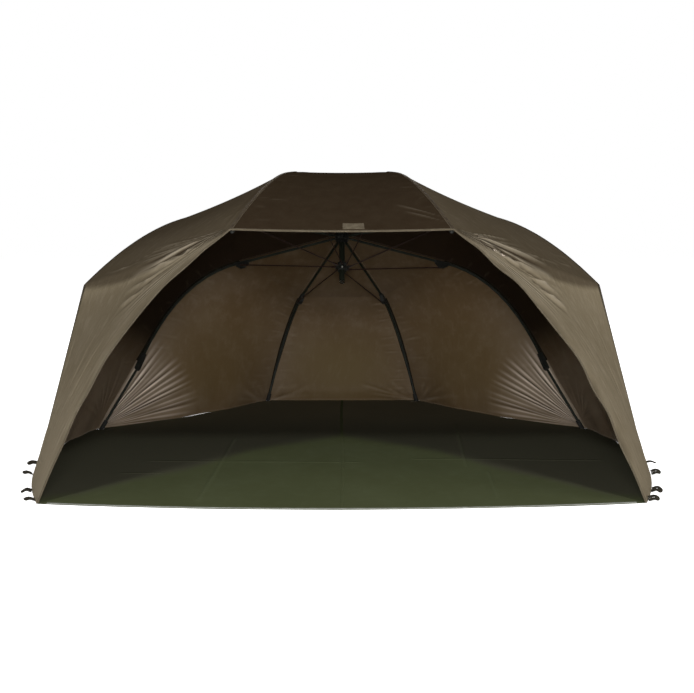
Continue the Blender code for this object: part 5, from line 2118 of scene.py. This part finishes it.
@dataclass
class FrameFinishes:
    """The finishes of the frame's own pieces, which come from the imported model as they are."""

    palette: Palette
    stance: Stance

    def dress(self) -> None:
        """Gives every CAD node that stays in view its finish."""
        paint, strut = self.palette.frame_paint.make(), self.palette.strut_paint.make()
        moulding, rubber = self.palette.moulding.make(), self.palette.rubber.make()
        bright = self.palette.bright.make(Vector(self.stance.up))
        finishes = {
            Part.RIB: paint, Part.LEG: paint, Part.TUBE: paint, Part.STRUT: strut, Part.BRACKET: moulding,
            Part.TIP: moulding, Part.HUB: moulding, Part.RUNNER: moulding, Part.KNUCKLE: moulding,
            Part.FOOT: rubber, Part.FERRULE: bright, Part.BUTTON: bright,
        }
        by_length = sorted(finishes, key=lambda part: -len(part.value))
        for name, node in frame["nodes"].items():
            if node.hide_render:
                continue
            part = next((item for item in by_length if name.startswith(item.value)), None)
            if part is None:
                log.warning("%s keeps its packed finish", name)
                continue
            for slot in node.material_slots:
                slot.material = finishes[part]
            log.info("%s: %s", name, finishes[part].name)


@dataclass
class Studio:
    """The pale floor, the soft lamps and the camera where the photograph was taken from."""

    camera_place: Colour = (0.0, -4.758, 1.18)
    camera_pitch: float = math.radians(8.4)
    camera_yaw: float = math.radians(0.286)
    focal_share: float = 1000 / 694
    sensor: float = 36.0
    clip: Pair = (0.05, 100.0)
    ambient: float = 0.16
    white: Colour = (1.0, 1.0, 1.0)
    floor_size: float = 30.0
    floor_colour: Colour = (0.86, 0.86, 0.86)
    floor_glow: float = 0.85
    lamps: tuple[tuple, ...] = (
        ("right_wall_softbox", (4.6, -2.6, 1.5), (1.0, -0.2, 0.6), 1.4, 76),
        ("left_wall_softbox", (-4.6, -2.6, 1.5), (-1.0, -0.2, 0.6), 1.4, 40),
        ("high_right_lamp", (1.75, -3.4, 4.1), (0.0, 0.0, 0.2), 0.4, 82),
        ("high_left_lamp", (-1.75, -3.4, 4.1), (0.0, 0.0, 0.2), 0.4, 78),
        ("low_front_softbox", (0.0, -6.2, 1.45), (0.0, 0.0, 0.4), 1.2, 215),
        ("rear_softbox", (0.0, 6.2, 2.8), (0.0, 0.6, 0.6), 1.6, 260),
    )

    def build(self) -> None:
        """Sets up the whole stage."""
        self.camera()
        self.world()
        self.floor()
        for lamp in self.lamps:
            self.lamp(*lamp)

    def camera(self) -> None:
        """The camera."""
        data = bpy.data.cameras.new("photograph_camera")
        data.sensor_width = self.sensor
        data.lens = self.sensor * self.focal_share
        data.clip_start, data.clip_end = self.clip
        made = bpy.data.objects.new("photograph_camera", data)
        made.location = self.camera_place
        made.rotation_euler = (math.pi / 2 - self.camera_pitch, 0, -self.camera_yaw)
        bpy.context.scene.collection.objects.link(made)
        bpy.context.scene.camera = made

    def world(self) -> None:
        """White behind the object, and an even soft light from all round."""
        world = bpy.data.worlds.new("studio_world")
        world.use_nodes = True
        bpy.context.scene.world = world
        bench = Bench(world.node_tree)
        back = bench.tree.nodes["Background"]
        seen = bench.background_ray()
        strength = bench.node("MapRange", {}, {"Value": seen, "To Min": self.ambient, "To Max": 1.0})
        bench.feed(back.inputs["Strength"], strength)
        bench.feed(back.inputs["Color"], self.white)

    def floor(self) -> None:
        """A white floor that keeps the object's shadow."""
        half = self.floor_size / 2
        mesh = bpy.data.meshes.new("studio_floor")
        corners = [(-half, -half, 0), (half, -half, 0), (half, half, 0), (-half, half, 0)]
        mesh.from_pydata(corners, [], [(0, 1, 2, 3)])
        bench = MaterialBench("studio_floor")
        bench.finish(Base_Color=self.floor_colour, Roughness=0.9)
        plain = Flow(bench, bench.surface.outputs[0])
        glow = bench.node("Emission", {}, {"Color": self.white, "Strength": self.floor_glow})
        bright = bench.node("AddShader", {}, {0: plain, 1: glow})
        both = bench.node("MixShader", {}, {0: bench.background_ray(), 1: plain, 2: bright})
        bench.feed(bench.tree.nodes["Material Output"].inputs["Surface"], both)
        mesh.materials.append(bench.material)
        made = bpy.data.objects.new("studio_floor", mesh)
        bpy.context.scene.collection.objects.link(made)

    def lamp(self, name: str, place: Colour, target: Colour, size: float, watts: float) -> None:
        """A square soft lamp.

        Args:
            name: its name.
            place: where it is.
            target: what it is turned to.
            size: the side of its square.
            watts: its power.
        """
        data = bpy.data.lights.new(name, "AREA")
        data.size = size
        data.energy = watts
        made = bpy.data.objects.new(name, data)
        made.location = place
        made.rotation_euler = (Vector(target) - Vector(place)).to_track_quat("-Z", "Y").to_euler()
        bpy.context.scene.collection.objects.link(made)


STANCE = Stance()
SHIFT = STANCE.shift()


def main() -> None:
    """Builds the umbrella's soft pieces, dresses its frame and sets the stage."""
    logging.basicConfig(level=logging.INFO, format="%(name)s %(message)s")
    bpy.context.scene.view_settings.view_transform = "Standard"
    palette = Palette()
    Studio().build()
    canopy = Canopy(palette, STANCE)
    canopy.build()
    Trims(palette, canopy).build()
    Groundsheet(palette, canopy).build()
    PegLoops(palette, canopy).build()
    FrameFinishes(palette, STANCE).dress()


if __name__ == "__main__":
    main()
